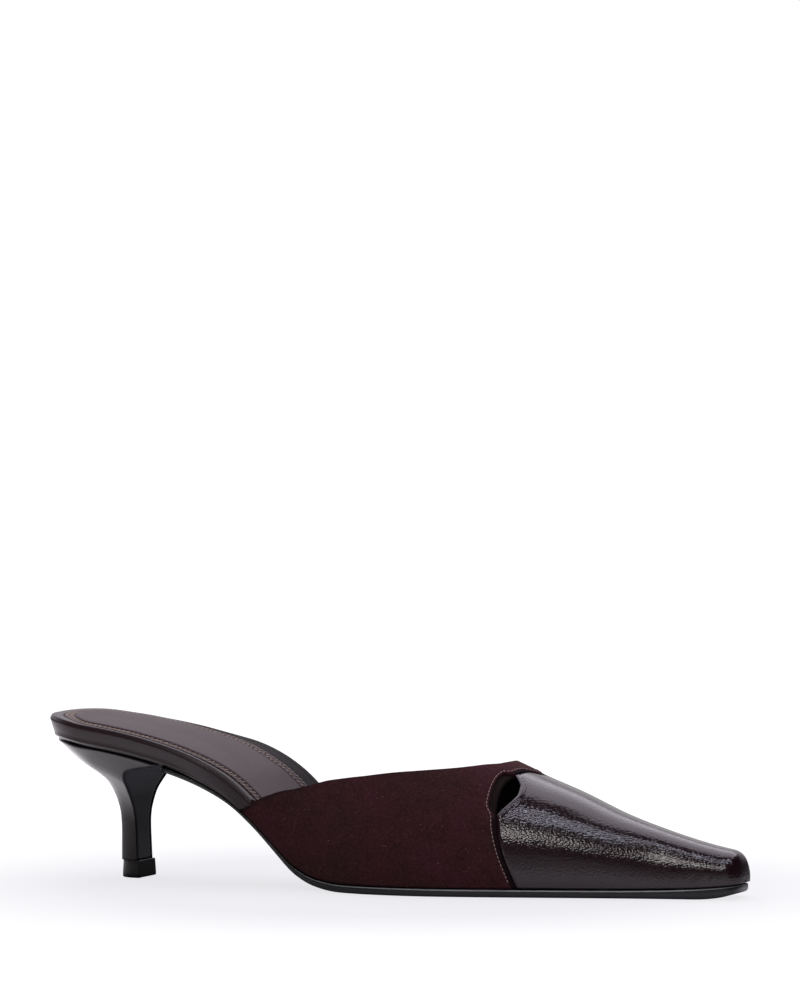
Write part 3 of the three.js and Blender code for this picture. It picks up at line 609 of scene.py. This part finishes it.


# Loops from the base up: the foot, the groove over the heel painted dark as its shadow and the sole's dark
# edge, the wall, the rim and the recess.
def buildPlatform():
    def hidden(x, y, part):
        start = skin["back"] - 0.4 + np.where(y > 0, 11.2 + 3 * part, 4.4 * part)
        return 3.8 * smooth(x, start, start + 0.9)

    toShank = lambda x: 1 - smooth(x, 60, skin["back"])
    seat = lambda x: mix(heelSeat["inset"], heelSeat["side"], smooth(x, 0, shoe["seat"] * 0.55)) * toShank(x)
    under = lambda x, y: seat(x) + hidden(x, y, 0.0)
    base = lambda x, y: featherHeight(x, y) + gap["seam"] / 2
    near = lambda x: 1 - smooth(x, 56, 68)
    ledge = lambda x: (0.5 + 0.8 * smooth(x, 3, 14)) * near(x)
    swell = lambda x, share: deck["swell"] * near(x) * share
    deckRing = lambda insetAt: outline(0, deckEnd, insetAt)
    foot = deckRing(lambda x, y: under(x, y) + ledge(x))
    loops = coverRing(foot, outward, base) + [raiseRing(foot, base)]
    dark = [1.0] * len(loops)
    for part, out, black_and_shade in seamRows:
        ring = deckRing(lambda x, y: under(x, y) + ledge(x) * (1 - out) - swell(x, out))
        loops.append(raiseRing(ring, lambda x, y: mix(base(x, y), platformTop(x, y, 0), part)))
        dark.append(black_and_shade)
    for part in wallParts:
        flat = 1 - smooth(part, 0.15, 0.4)
        drawn = lambda x, y: mix(seat(x), 0, part**0.8) + hidden(x, y, part) - swell(x, flat)
        loops.append(raiseRing(deckRing(drawn), lambda x, y: mix(base(x, y), platformTop(x, y, 0), part)))
    for inset in rimInsets:
        ring = deckRing(lambda x, y: hidden(x, y, 1.0) + inset)
        loops.append(raiseRing(ring, lambda x, y: rimTop(x, y, inset)))
    recess = lambda more: deckRing(lambda x, y: sockInset(x, y, more))
    edge = lambda x, y: rimTop(x, y, deck["run"])
    for inset, drop in ((0.35, 0.0), (0.1, 0.12), (0, 0.4)):
        loops.append(raiseRing(recess(-gap["seam"] - inset), lambda x, y: edge(x, y) - drop))
    loops.append(raiseRing(recess(-gap["seam"] + 0.02), sockFloor))
    loops += coverRing(recess(0.4), inward, sockFloor)
    # Painted shadow: the foot and groove rows are marked dark, the gap's shade together with the sole's dark
    # edge.
    dark += [0.0] * (len(loops) - len(dark))
    points = np.stack(loops)
    # The far side's rim, from its crest to the sock, is made matte and painted darker as shade.
    upperLoops = (np.arange(len(loops)) > len(dark) // 2)[:, None]
    farSide = smooth(points[:, :, 1], 3, 9) * smooth(points[:, :, 0], 30, 50) * upperLoops
    marks = {"black_and_shade": np.array(dark)[:, None] * near(points[:, :, 0]), "dull_and_shade": farSide}
    return loftPiece("platform_wrap", points, wrapLeather, marks=marks)


platform = buildPlatform()
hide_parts("insole_platform")

# Sock rows: inset, share of the way over the channel, and height. Pad rows: inset and share of its rise.
thick, skive = sockSizes["thick"], sockSizes["skive"]
sockRows = [(0.35, 0, 0.0), (0.0, 0, 0.05), (0.0, 0, thick - 0.25), (0.12, 0, thick - 0.06), (0.35, 0, thick),
            (0.0, 0.22, thick), (0.0, 0.5, thick - 0.02), (0.0, 0.78, thick), (0.1, 1, thick),
            (0.28, 1, thick - skive), (0.45, 1, thick - skive)]
padRows = ((0.5, -0.05), (0.62, 0.3), (0.85, 0.6), (1.2, 0.85), (1.7, 0.98), (2.4, 1.0))


# Sock: a flat edge strip, a stitched channel and the soft pad with its rounded, slightly crowned face.
def buildSock():
    lifted = lambda above: lambda x, y: sockFloor(x, y) + gap["seam"] + above
    bare = lambda x: 1 - covered(x)
    across = lambda x, share: share * sockSizes["channel"] * bare(x)
    ring = lambda more, share: outline(0, deckEnd, lambda x, y: sockInset(x, y, more + across(x, share)))
    loops = coverRing(ring(0.4, 0), outward, lifted(0))
    loops += [raiseRing(ring(more, share), lifted(above)) for more, share, above in sockRows]
    for run, rise in padRows:
        face = lambda x, y: lifted(thick)(x, y) + sockSizes["pad"] * rise * bare(x)
        loops.append(raiseRing(ring(run, 1), face))
    for share in (0.93, 0.84, 0.7, 0.5, 0.28, 0.04):
        rise = sockSizes["pad"] + sockSizes["crown"] * (1 - share**2)
        loops += coverRing(ring(2.4, 1), [share], lambda x, y: lifted(thick)(x, y) + bare(x) * rise)
    return loftPiece("sock_and_pad", np.stack(loops), sockLeather)


sock = buildSock()
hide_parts("sock_lining")
print("stage: footbed")

# Soft creases, listed: place along, girth, half length, half width in millimetres, turn, and depth
# (above 0 a trough, below 0 a ridge). Each is a bell along and across its own line.
toeCreases = [
    (199, 0.25, 8, 2.2, 0.5, 0.07), (205, 0.3, 11, 2.4, 0.15, 0.06), (210, 0.345, 12, 2.6, -0.15, 0.05),
    (238, 0.15, 11, 12, 0.0, 0.3), (216, 0.16, 10, 11, 0.0, -0.22), (205, 0.72, 11, 2.6, 0.0, 0.07),
    (251, 0.05, 3, 1.2, 1.2, 0.1), (256, 0.045, 3, 1.2, 1.4, 0.1),
]
vampCreases = [
    (118, 0.11, 24, 7, 0.25, 0.35), (150, 0.2, 30, 9, 0.1, -0.3), (176, 0.3, 8, 5, 1.2, 0.3),
    (168, 0.06, 20, 5, 0.0, 0.25), (140, 0.8, 26, 8, 0.1, 0.3),
]
girthLength = 95


def creased(x, girth, creases):
    depth = 0 * x * girth
    for at, line, half, wide, turn, deep in creases:
        along, across = x - at, (girth - line) * girthLength
        ahead = along * math.cos(turn) + across * math.sin(turn)
        aside = across * math.cos(turn) - along * math.sin(turn)
        depth = depth - deep * np.exp(-(ahead / half) ** 2 - (aside / wide) ** 2)
    return depth


# Fold round the keyhole: a low roll along the cut edge and the stitched line pressed in behind it.
def foldAt(back, girth):
    roll = 0.22 * np.exp(-((back - 0.75) / 0.55) ** 2) - 0.16 * np.exp(-((back - 1.7) / 0.35) ** 2)
    return roll * smooth(keyholeAt(girth), -0.6, 1.2)


def toeRear(girth):
    return bandEdge(girth) + keyholeAt(girth)


# Toe leather from the tip to its rear edge, tucked under the suede or folded round the keyhole: an
# outer face, a rounded edge and an inner face, one wall apart.
def buildToe(rows=160, columns=300):
    girth = np.linspace(0, 1, columns)[None, :]
    t = np.linspace(0, 1, rows)[:, None]
    along, inwards = turnRound(5, skin["wall"])
    tip = shoe["length"] - 0.002
    rear = toeRear(girth)
    tucked = lambda x: -sink * smooth(bandEdge(girth) + 0.9 - x, 0, 0.7)
    outerX = mix(tip, rear, t**1.7)
    relief = foldAt(outerX - rear, girth) + creased(outerX, girth, toeCreases)
    outer = upperPoint(outerX, girth, tucked(outerX) + relief)
    edge = upperPoint(rear - along[:, None], girth, tucked(outerX[-1:]) - inwards[:, None])
    innerX = mix(tip - skin["wall"], rear, t[::-1] ** 1.7)
    bandLining = -skin["wall"] - sink * (1 - smooth(innerX, skin["band"], skin["band"] + 25))
    inner = upperPoint(innerX, girth, np.minimum(bandLining, tucked(innerX) - skin["wall"]))
    points = np.concatenate([outer, edge, inner])
    count = points.shape[0]
    return makePiece("toe_leather", points, gridFaces(count, columns) + seamFaces(count, columns), toeLeather)


toe = buildToe()
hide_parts("upper")


# A band of the upper between its front line and the collar, with both cut edges rounded. dark gives
# the mark of painted shade at a place and girth.
def bandPiece(name, front, rear, outerAt, thickness, material, rows, columns, dark=None):
    girth = np.linspace(0, 1, columns)[None, :]
    t = np.linspace(0, 1, rows)[:, None]
    along, inwards = turnRound(5, thickness)
    low, high = front(girth) - thickness / 2, rear(girth) + thickness / 2
    xs = mix(low, high, t**1.4)
    outer = upperPoint(xs, girth, outerAt(xs, girth))
    end = upperPoint(high - along[:, None], girth, outerAt(high, girth) - inwards[:, None])
    inner = upperPoint(xs[::-1], girth, outerAt(xs[::-1], girth) - thickness)
    start = upperPoint(low + along[::-1, None], girth, outerAt(low, girth) - inwards[::-1, None])
    points = np.concatenate([outer, end, inner, start])
    count = points.shape[0]
    face = rows + len(along) + rows
    last = np.concatenate([[face - 1], np.arange(face, count), [0]]) * columns
    faces = gridFaces(count, columns, closeRows=True) + seamFaces(face, columns)
    faces += [last.tolist(), (last + columns - 1).tolist()]
    marks = None
    if dark:
        edges = [dark(place, girth) + 0 * along[:, None] for place in (high, low)]
        marks = {"black_and_shade": np.concatenate([dark(xs, girth), edges[0], dark(xs[::-1], girth), edges[1]])}
    return makePiece(name, points, faces, material, marks=marks)


# The suede's front edge stands back from the keyhole and its last stretch rolls down to the toe leather.
def suedeFront(girth):
    return bandEdge(girth) - 2.6 * smooth(keyholeAt(girth), 0.0, 3.0)


def suedeOffset(x, girth):
    fromFront = suedeFront(girth) - x
    rolled = 0.28 * (1 - smooth(fromFront, 0.2, 1.5))
    return skin["proud"] - rolled + creased(x, girth, vampCreases) * smooth(fromFront, 0, 12)


# Painted shade on the cut edges: a dark line along the front's rolled edge, but not at the keyhole, and one
# along the collar.
def suedeEdgeShade(x, girth):
    front = (1 - smooth(suedeFront(girth) - x, 0.9, 1.25)) * (1 - smooth(keyholeAt(girth), -1, 1.5))
    return np.maximum(front, 1 - smooth(x - collarAt(girth), 0.35, 0.9))


def buildSuede():
    thickness = skin["suede"]
    return bandPiece("suede_vamp", suedeFront, collarAt, suedeOffset, thickness, suede, 158, 300, suedeEdgeShade)


vamp = buildSuede()
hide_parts("suede_band")


def buildLining():
    front = lambda girth: bandEdge(girth) - 0.2
    rear = lambda girth: collarAt(girth) + 0.5
    offset = lambda x, girth: -sink + 0 * x * girth
    return bandPiece("vamp_lining", front, rear, offset, skin["wall"], liningLeather, 110, 220)


lining = buildLining()
print("stage: upper")


# A row of stitches: small rounded threads laid along a path on a surface, a dash and a space each, and
# tilted in the surface. A thread is a spindle: its radius is the sine of the way along, to the 0.6.
def stitchRow(name, path, normals, material, dash, space, width, height, tilt=0.0):
    step = np.linalg.norm(np.diff(path, axis=0), axis=1)
    run = np.concatenate([[0], np.cumsum(step)])
    count = int(run[-1] / (dash + space))
    middle = (np.arange(count) + 0.5) * run[-1] / count
    pick = lambda place, values: np.stack([np.interp(place, run, values[:, k]) for k in range(3)], -1)
    unit = lambda vectors: vectors / np.linalg.norm(vectors, axis=1, keepdims=True)
    up = unit(pick(middle, normals))
    along = pick(middle + 0.3, path) - pick(middle - 0.3, path)
    along = unit(along - up * np.sum(along * up, axis=1, keepdims=True))
    turned = along * math.cos(tilt) + np.cross(up, along) * math.sin(tilt)
    t, a = np.meshgrid(np.linspace(0, math.pi, 7), np.linspace(0, 2 * math.pi, 9)[:-1], indexing="ij")
    radius = np.sin(t) ** 0.6
    local = np.stack([-np.cos(t) * dash / 2, radius * np.cos(a) * width / 2,
                      radius * np.sin(a) * height / 2], -1).reshape(-1, 3)
    frames = np.stack([turned, np.cross(up, turned), up], 1)
    points = pick(middle, path)[:, None, :] + np.einsum("pk,nkc->npc", local, frames)
    single = np.array(gridFaces(7, 8, closeColumns=True))
    faces = (single[None] + (np.arange(count) * len(local))[:, None, None]).reshape(-1, 4).tolist()
    return makePiece(name, points, faces, material)


def surfaceNormal(x, girth, offset):
    alongX = upperPoint(x + 0.2, girth, offset) - upperPoint(x - 0.2, girth, offset)
    alongG = upperPoint(x, girth + 0.001, offset) - upperPoint(x, girth - 0.001, offset)
    normal = np.cross(alongG, alongX)
    return normal / np.maximum(np.linalg.norm(normal, axis=-1, keepdims=True), 1e-9)


vampStitch = dict(dash=1.15, space=0.35, width=0.3, height=0.22)
toeStitch = dict(dash=1.1, space=0.5, width=0.3, height=0.22)
sockStitch = dict(dash=1.7, space=0.2, width=0.42, height=0.36)


# Behind the suede's front edge, closer to it along the keyhole.
def buildVampStitches():
    girth = np.linspace(0.012, 0.988, 700)
    x = suedeFront(girth) - mix(1.35, 0.55, smooth(keyholeAt(girth), 0.0, 3.0))
    path = upperPoint(x, girth, suedeOffset(x, girth) + 0.05)
    stitchRow("vamp_stitches", path, surfaceNormal(x, girth, 0.3), paleThread, **vampStitch)


# In the pressed line round each keyhole.
def buildToeStitches():
    for name, low, high in (("toe_stitches_a", 0.19, 0.4), ("toe_stitches_b", 0.63, 0.81)):
        girth = np.linspace(low, high, 300)
        x = toeRear(girth) + 1.6
        stitchRow(name, upperPoint(x, girth, 0.0), surfaceNormal(x, girth, 0.0), darkThread, **toeStitch)


# Two slanted rows in the channel between the edge strip and the pad, from the collar round the heel.
def buildSockStitches():
    for name, share, tilt in (("sock_stitches_a", 0.25, -0.5), ("sock_stitches_b", 0.75, 0.5)):
        inset = lambda x, y: sockInset(x, y, share * sockSizes["channel"] * (1 - covered(x)))
        ring = outline(0, deckEnd, inset, count=500)
        ring = np.roll(ring, -len(ring) // 2, axis=0)
        ring = ring[ring[:, 0] < skin["back"] + 16]
        path = raiseRing(ring, lambda x, y: sockFloor(x, y) + gap["seam"] + sockSizes["thick"])
        stitchRow(name, path, np.tile([0.0, 0.0, 1.0], (len(ring), 1)), tanThread, **sockStitch, tilt=tilt)


buildVampStitches()
buildToeStitches()
buildSockStitches()
print("stage: stitches")

# Heel rows: level, 0 above the tip and 1 under the seat, then the share of the way from the stem to the
# seat of its back, front, width and shape.
stem = dict(back=26.6, front=35.0, half=7.0, tip=6.0)
breast = dict(lip=0.55, recess=0.75, corner=0.12)
heelRows = [
    (0, 0, 0, 0, 0), (0.25, 0, -0.024, 0, 0), (0.385, 0.015, -0.035, 0.01, 0.02),
    (0.49, 0.06, -0.04, 0.06, 0.06), (0.595, 0.135, -0.04, 0.18, 0.15), (0.652, 0.19, -0.04, 0.27, 0.22),
    (0.705, 0.275, -0.034, 0.37, 0.32), (0.757, 0.4, -0.012, 0.495, 0.45), (0.815, 0.56, 0.01, 0.65, 0.6),
    (0.867, 0.675, 0.05, 0.75, 0.75), (0.93, 0.805, 0.13, 0.84, 0.9), (0.965, 0.885, 0.38, 0.91, 0.95),
    (1, 1, 1, 1, 1),
]
heelColumns = list(zip(*heelRows))
heelBack, heelFront, heelSide, heelShape = [
    fair(curveThrough(heelColumns[0], column), 0, 1, 0.012) for column in heelColumns[1:]
]
seatX = heelSeat["length"] + heelSeat["inset"]
seatWide = float(halfWidth(np.array([float(heelSeat["length"])]), np.array([1.0]))[0]) - heelSeat["side"]


def seatHalf(x, side):
    half = np.where(side < 0, outerHalf(x / shoe["length"]), innerHalf(x / shoe["length"]))
    run = shoe["seat"] / 2 - heelSeat["side"]
    return (half - heelSeat["side"]) * roundEnd(x - heelSeat["inset"], run, 2.05)


def heelHeightAt(level, x):
    low = stem["tip"] + gap["seam"]
    return mix(low, featherHeight(x, np.zeros_like(x)) - gap["seam"] / 2, level)


# One level of the heel: a rounded back from an ellipse at the stem to the seat's outline, then the
# breast across the front, set back by a recess between its two lips.
def heelLoop(level, recess, steps=56):
    back = mix(stem["back"], heelSeat["inset"], heelBack(level))
    front = mix(stem["front"], seatX, heelFront(level))
    half = mix(stem["half"], seatWide, heelSide(level))
    turn = np.linspace(0, math.pi / 2, steps)
    stemShape = np.stack([1 - np.cos(turn), np.sin(turn) ** 0.9], -1)
    edge = heelSeat["inset"] + heelSeat["length"] * stemShape[:, 0]
    sides = []
    for side in (-1.0, 1.0):
        whole = seatHalf(np.array([seatX]), side)[0]
        seatShape = np.stack([stemShape[:, 0], seatHalf(edge, side) / whole], -1)
        shape = mix(stemShape, seatShape, heelShape(level))
        sides.append(np.stack([mix(back, front, shape[:, 0]), side * half * shape[:, 1]], -1))
    corner = breast["corner"]
    lipEdge = half - breast["lip"]
    lip = [[front, half - corner], [front, lipEdge + 0.1], [front - recess * 0.5, lipEdge],
           [front - recess, lipEdge]]
    mirrored = [[x, -y] for x, y in lip]
    outer, other = sides[0].copy(), sides[1][::-1].copy()
    outer[-1, 0] -= corner
    other[0, 0] -= corner
    ring = np.concatenate([outer, mirrored, [[front - recess, 0]], lip[::-1], other])
    drawn = 0.5 * float(smooth(level, 0.985, 1.0))
    centre = np.array([(back + front) / 2, 0.0])
    ring = centre + (ring - centre) * (1 - drawn / half)
    along = np.clip((ring[:, 0] - back) / (front - back), 0, 1)
    z = heelHeightAt(level, heelSeat["inset"] + heelSeat["length"] * along)
    return np.column_stack([ring, z])


# Loops one over another, closed by one flat face at each end.
def ringPiece(name, points, material, marks=None):
    levels, count = points.shape[:2]
    ends = [list(range(count))[::-1], list(range((levels - 1) * count, levels * count))]
    return makePiece(name, points, gridFaces(levels, count, closeColumns=True) + ends, material, marks=marks)


def buildHeel():
    levels = np.concatenate([np.linspace(0, 0.35, 14), np.linspace(0.36, 1, 76)])
    loops = np.stack([heelLoop(level, breast["recess"]) for level in levels])
    # The lower stem is made matte and painted darker, as painted shade.
    marks = {"dull_and_shade": 0.9 * (1 - smooth(levels, 0.3, 0.72))[:, None] + 0 * loops[:, :, 0]}
    return ringPiece("heel_cover", loops, heelLeather, marks)


heel = buildHeel()
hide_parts("heel")

# Breast panel: a glossy sheet in the recess, flat but for a curl at its two edges.
panelSizes = dict(inset=1.0, behind=0.1, curl=0.4, thick=0.62)


def buildPanel():
    levels = np.linspace(0.01, 0.985, 90)
    across = np.sin(np.linspace(-0.5, 0.5, 33) * math.pi)
    front = mix(stem["front"], seatX, heelFront(levels))[:, None]
    y = (mix(stem["half"], seatWide, heelSide(levels)) - panelSizes["inset"])[:, None] * across
    z = heelHeightAt(levels, np.full_like(levels, seatX))[:, None] + 0 * across
    curl = -panelSizes["behind"] - panelSizes["curl"] * np.abs(across) ** 16
    face = np.stack([front + curl, y, z], -1)
    rear = np.stack([front - panelSizes["thick"] + 0 * across, y, z], -1)
    return ringPiece("breast_panel", np.concatenate([face, rear[:, ::-1]], axis=1), breastGloss)


panel = buildPanel()
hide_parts("heel_breast_panel")

# Heel tip: the stem's outline, a little wider, with a rounded rim. Rows are height and growth.
tipRows = ((0, 0.35), (0.12, 0.62), (0.5, 0.8), (1.5, 0.76), (3, 0.66), (4.5, 0.54), (5.9, 0.42),
           (6.15, 0.34), (6.26, 0.15))
tipSizes = dict(shorter=0.97, forward=0.75)


def buildTip():
    base = heelLoop(0.0, 0.0)[:, :2]
    centre = (stem["back"] + stem["front"]) / 2
    loops = []
    for z, grow in tipRows:
        scale = 1 + grow / stem["half"]
        x = centre + (base[:, 0] - centre) * scale * tipSizes["shorter"] + tipSizes["forward"]
        loops.append(np.column_stack([x, base[:, 1] * scale, np.full(len(x), float(z))]))
    return ringPiece("tip_rubber", np.stack(loops), tipRubber)


tip = buildTip()
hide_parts("heel_tip")
print("stage: heel")

# Floor and light. Directions are told from the camera's side: right, behind the shoe, and up.
azimuth, elevation, distance = math.radians(22), math.radians(4.6), 2.5
rightward = np.array([math.cos(azimuth), math.sin(azimuth), 0])
behind = np.array([-math.sin(azimuth), math.cos(azimuth), 0])
upward = np.array([0, 0, 1])
shoeCentre = np.array([0, 0, 0.025])

floorMesh = bpy.data.meshes.new("floor")
floorMesh.from_pydata([(-8, -8, 0), (8, -8, 0), (8, 8, 0), (-8, 8, 0)], [], [(0, 1, 2, 3)])
floor = bpy.data.objects.new("floor", floorMesh)
bpy.context.collection.objects.link(floor)
floorMaterial, floorTree, floorShader = newMaterial("floor_pale", (0.9, 0.9, 0.905), 0.9, 0.1)
floorMesh.materials.append(floorMaterial)


# Grey by the place along an axis. The ramp reads the place times scale, plus a half.
def toneAlong(tree, source, axis, scale, stops):
    along = addNode(tree, "ShaderNodeVectorMath", source, operation="DOT_PRODUCT")
    along.inputs[1].default_value = axis
    shift = addNode(tree, "ShaderNodeMath", along.outputs["Value"], operation="MULTIPLY_ADD")
    shift.inputs[1].default_value, shift.inputs[2].default_value = scale, 0.5
    return ramp(tree, shift.outputs[0], [(place * scale + 0.5, grey(value)) for place, value in stops])


def floorTone(axis, stops):
    return toneAlong(floorTree, objectPoint(floorTree), axis, 1.0, stops)


# The camera sees a floor that glows, with painted shade round the shoe that brightens to white further out.
# The shoe's gloss mirrors a floor that is darker behind and to both sides, with a glowing stretch by the heel
# that paints a reflection.
def shadeFloor():
    tone = multiplied(floorTree, floorTone(behind, [(-0.08, 0.8), (0.06, 0.12)]),
                      floorTone(rightward, [(-0.3, 0.35), (-0.08, 0.45), (0.0, 0.9), (0.1, 0.9), (0.3, 0.5)]))
    byHeel = multiplied(floorTree, floorTone(rightward, [(-0.3, 0), (-0.22, 1), (-0.15, 1), (-0.1, 0)]),
                        floorTone(behind, [(-0.18, 0), (-0.1, 1)]))
    tone = mixColour(floorTree, byHeel, tone, grey(1.0))
    seen = cameraRay(floorTree)
    floorTree.links.new(mixColour(floorTree, seen, tone, grey(0.08)), floorShader.inputs["Base Color"])
    away = addNode(floorTree, "ShaderNodeVectorMath", objectPoint(floorTree), operation="LENGTH")
    glow = ramp(floorTree, away.outputs["Value"], [(0.11, (0.75, 0.745, 0.77)), (0.26, grey(1))])
    floorTree.links.new(mixColour(floorTree, seen, byHeel, glow), floorShader.inputs["Emission Color"])
    floorShader.inputs["Emission Strength"].default_value = 1.0


shadeFloor()

# The studio round the shoe, by direction: white behind it, light on the left, dark on the right, and
# grey in front near the horizon. The camera itself sees white.
world = bpy.data.worlds.new("studio")
bpy.context.scene.world = world
world.use_nodes = True
tree = world.node_tree
direction = addNode(tree, "ShaderNodeTexCoord").outputs["Generated"]


def towards(axis, stops):
    return toneAlong(tree, direction, axis, 0.5, stops)


low = towards(upward, [(-1, 1.0), (0.18, 1.0), (0.33, 0.12), (1, 0.12)])
side = towards(rightward, [(-0.9, 0.22), (-0.35, 0.4), (0.1, 0.45), (0.45, 0.05), (1, 0.03)])
back = multiplied(tree, towards(behind, [(0.2, 0), (0.7, 0.8)]), towards(upward, [(0.05, 0), (0.22, 1)]))
back = multiplied(tree, back, towards(rightward, [(0.35, 1), (0.75, 0)]))
surroundings = mixColour(tree, back, multiplied(tree, low, side), (1.0, 0.96, 1.03))
shown = mixColour(tree, cameraRay(tree), surroundings, grey(1.0))
tree.links.new(shown, tree.nodes["Background"].inputs["Color"])


# A soft box facing the shoe. Its power is that of a given brightness over its size.
def softBox(name, away, height, across, size, brightness, colour):
    place = shoeCentre + behind * away + upward * height + rightward * across
    data = bpy.data.lights.new(name, "AREA")
    data.shape = "RECTANGLE"
    data.size, data.size_y = size
    data.energy = brightness * math.pi * size[0] * size[1]
    data.color = colour
    light = bpy.data.objects.new(name, data)
    light.location = place
    forward = (shoeCentre - place) / np.linalg.norm(shoeCentre - place)
    turn = Matrix([rightward, np.cross(-forward, rightward), -forward]).transposed()
    light.rotation_euler = turn.to_euler()
    bpy.context.collection.objects.link(light)


# Place in front of the shoe at an angle over the floor, as how far behind it and how high.
def atAngle(reach, degrees):
    return -reach * math.cos(math.radians(degrees)), reach * math.sin(math.radians(degrees))


softBox("overhead", 0.48, 1.2, 0, (2.4, 1.5), 2.45, (1, 0.94, 1.05))
softBox("front", *atAngle(1.0, 37.5), -0.18, (0.33, 0.13), 10, (1, 0.95, 0.93))
softBox("rim_light", *atAngle(1.2, 59), 0.25, (1.1, 0.075), 12, (0.86, 0.84, 1))

# The camera looks from azimuth 22 and elevation 4.6 degrees at the shoe. It is pitched up, so that the
# target lies at targetRow of the picture's 1000 rows.
target = np.array([2.01, 0.32, 30.0]) * 0.001
targetRow, lens, sensor = 802.6, 250, 36
level = math.cos(elevation)
toEye = np.array([level * math.sin(azimuth), -level * math.cos(azimuth), math.sin(elevation)])
cameraData = bpy.data.cameras.new("camera")
cameraData.lens = lens
cameraData.sensor_fit = "VERTICAL"
cameraData.sensor_height = sensor
camera = bpy.data.objects.new("camera", cameraData)
camera.location = target + toEye * distance
pitch = math.atan((targetRow - 500) / (lens / sensor * 1000))
camera.rotation_euler = (math.pi / 2 - elevation + pitch, 0, azimuth)
bpy.context.collection.objects.link(camera)
bpy.context.scene.camera = camera
bpy.context.scene.view_settings.view_transform = "Standard"
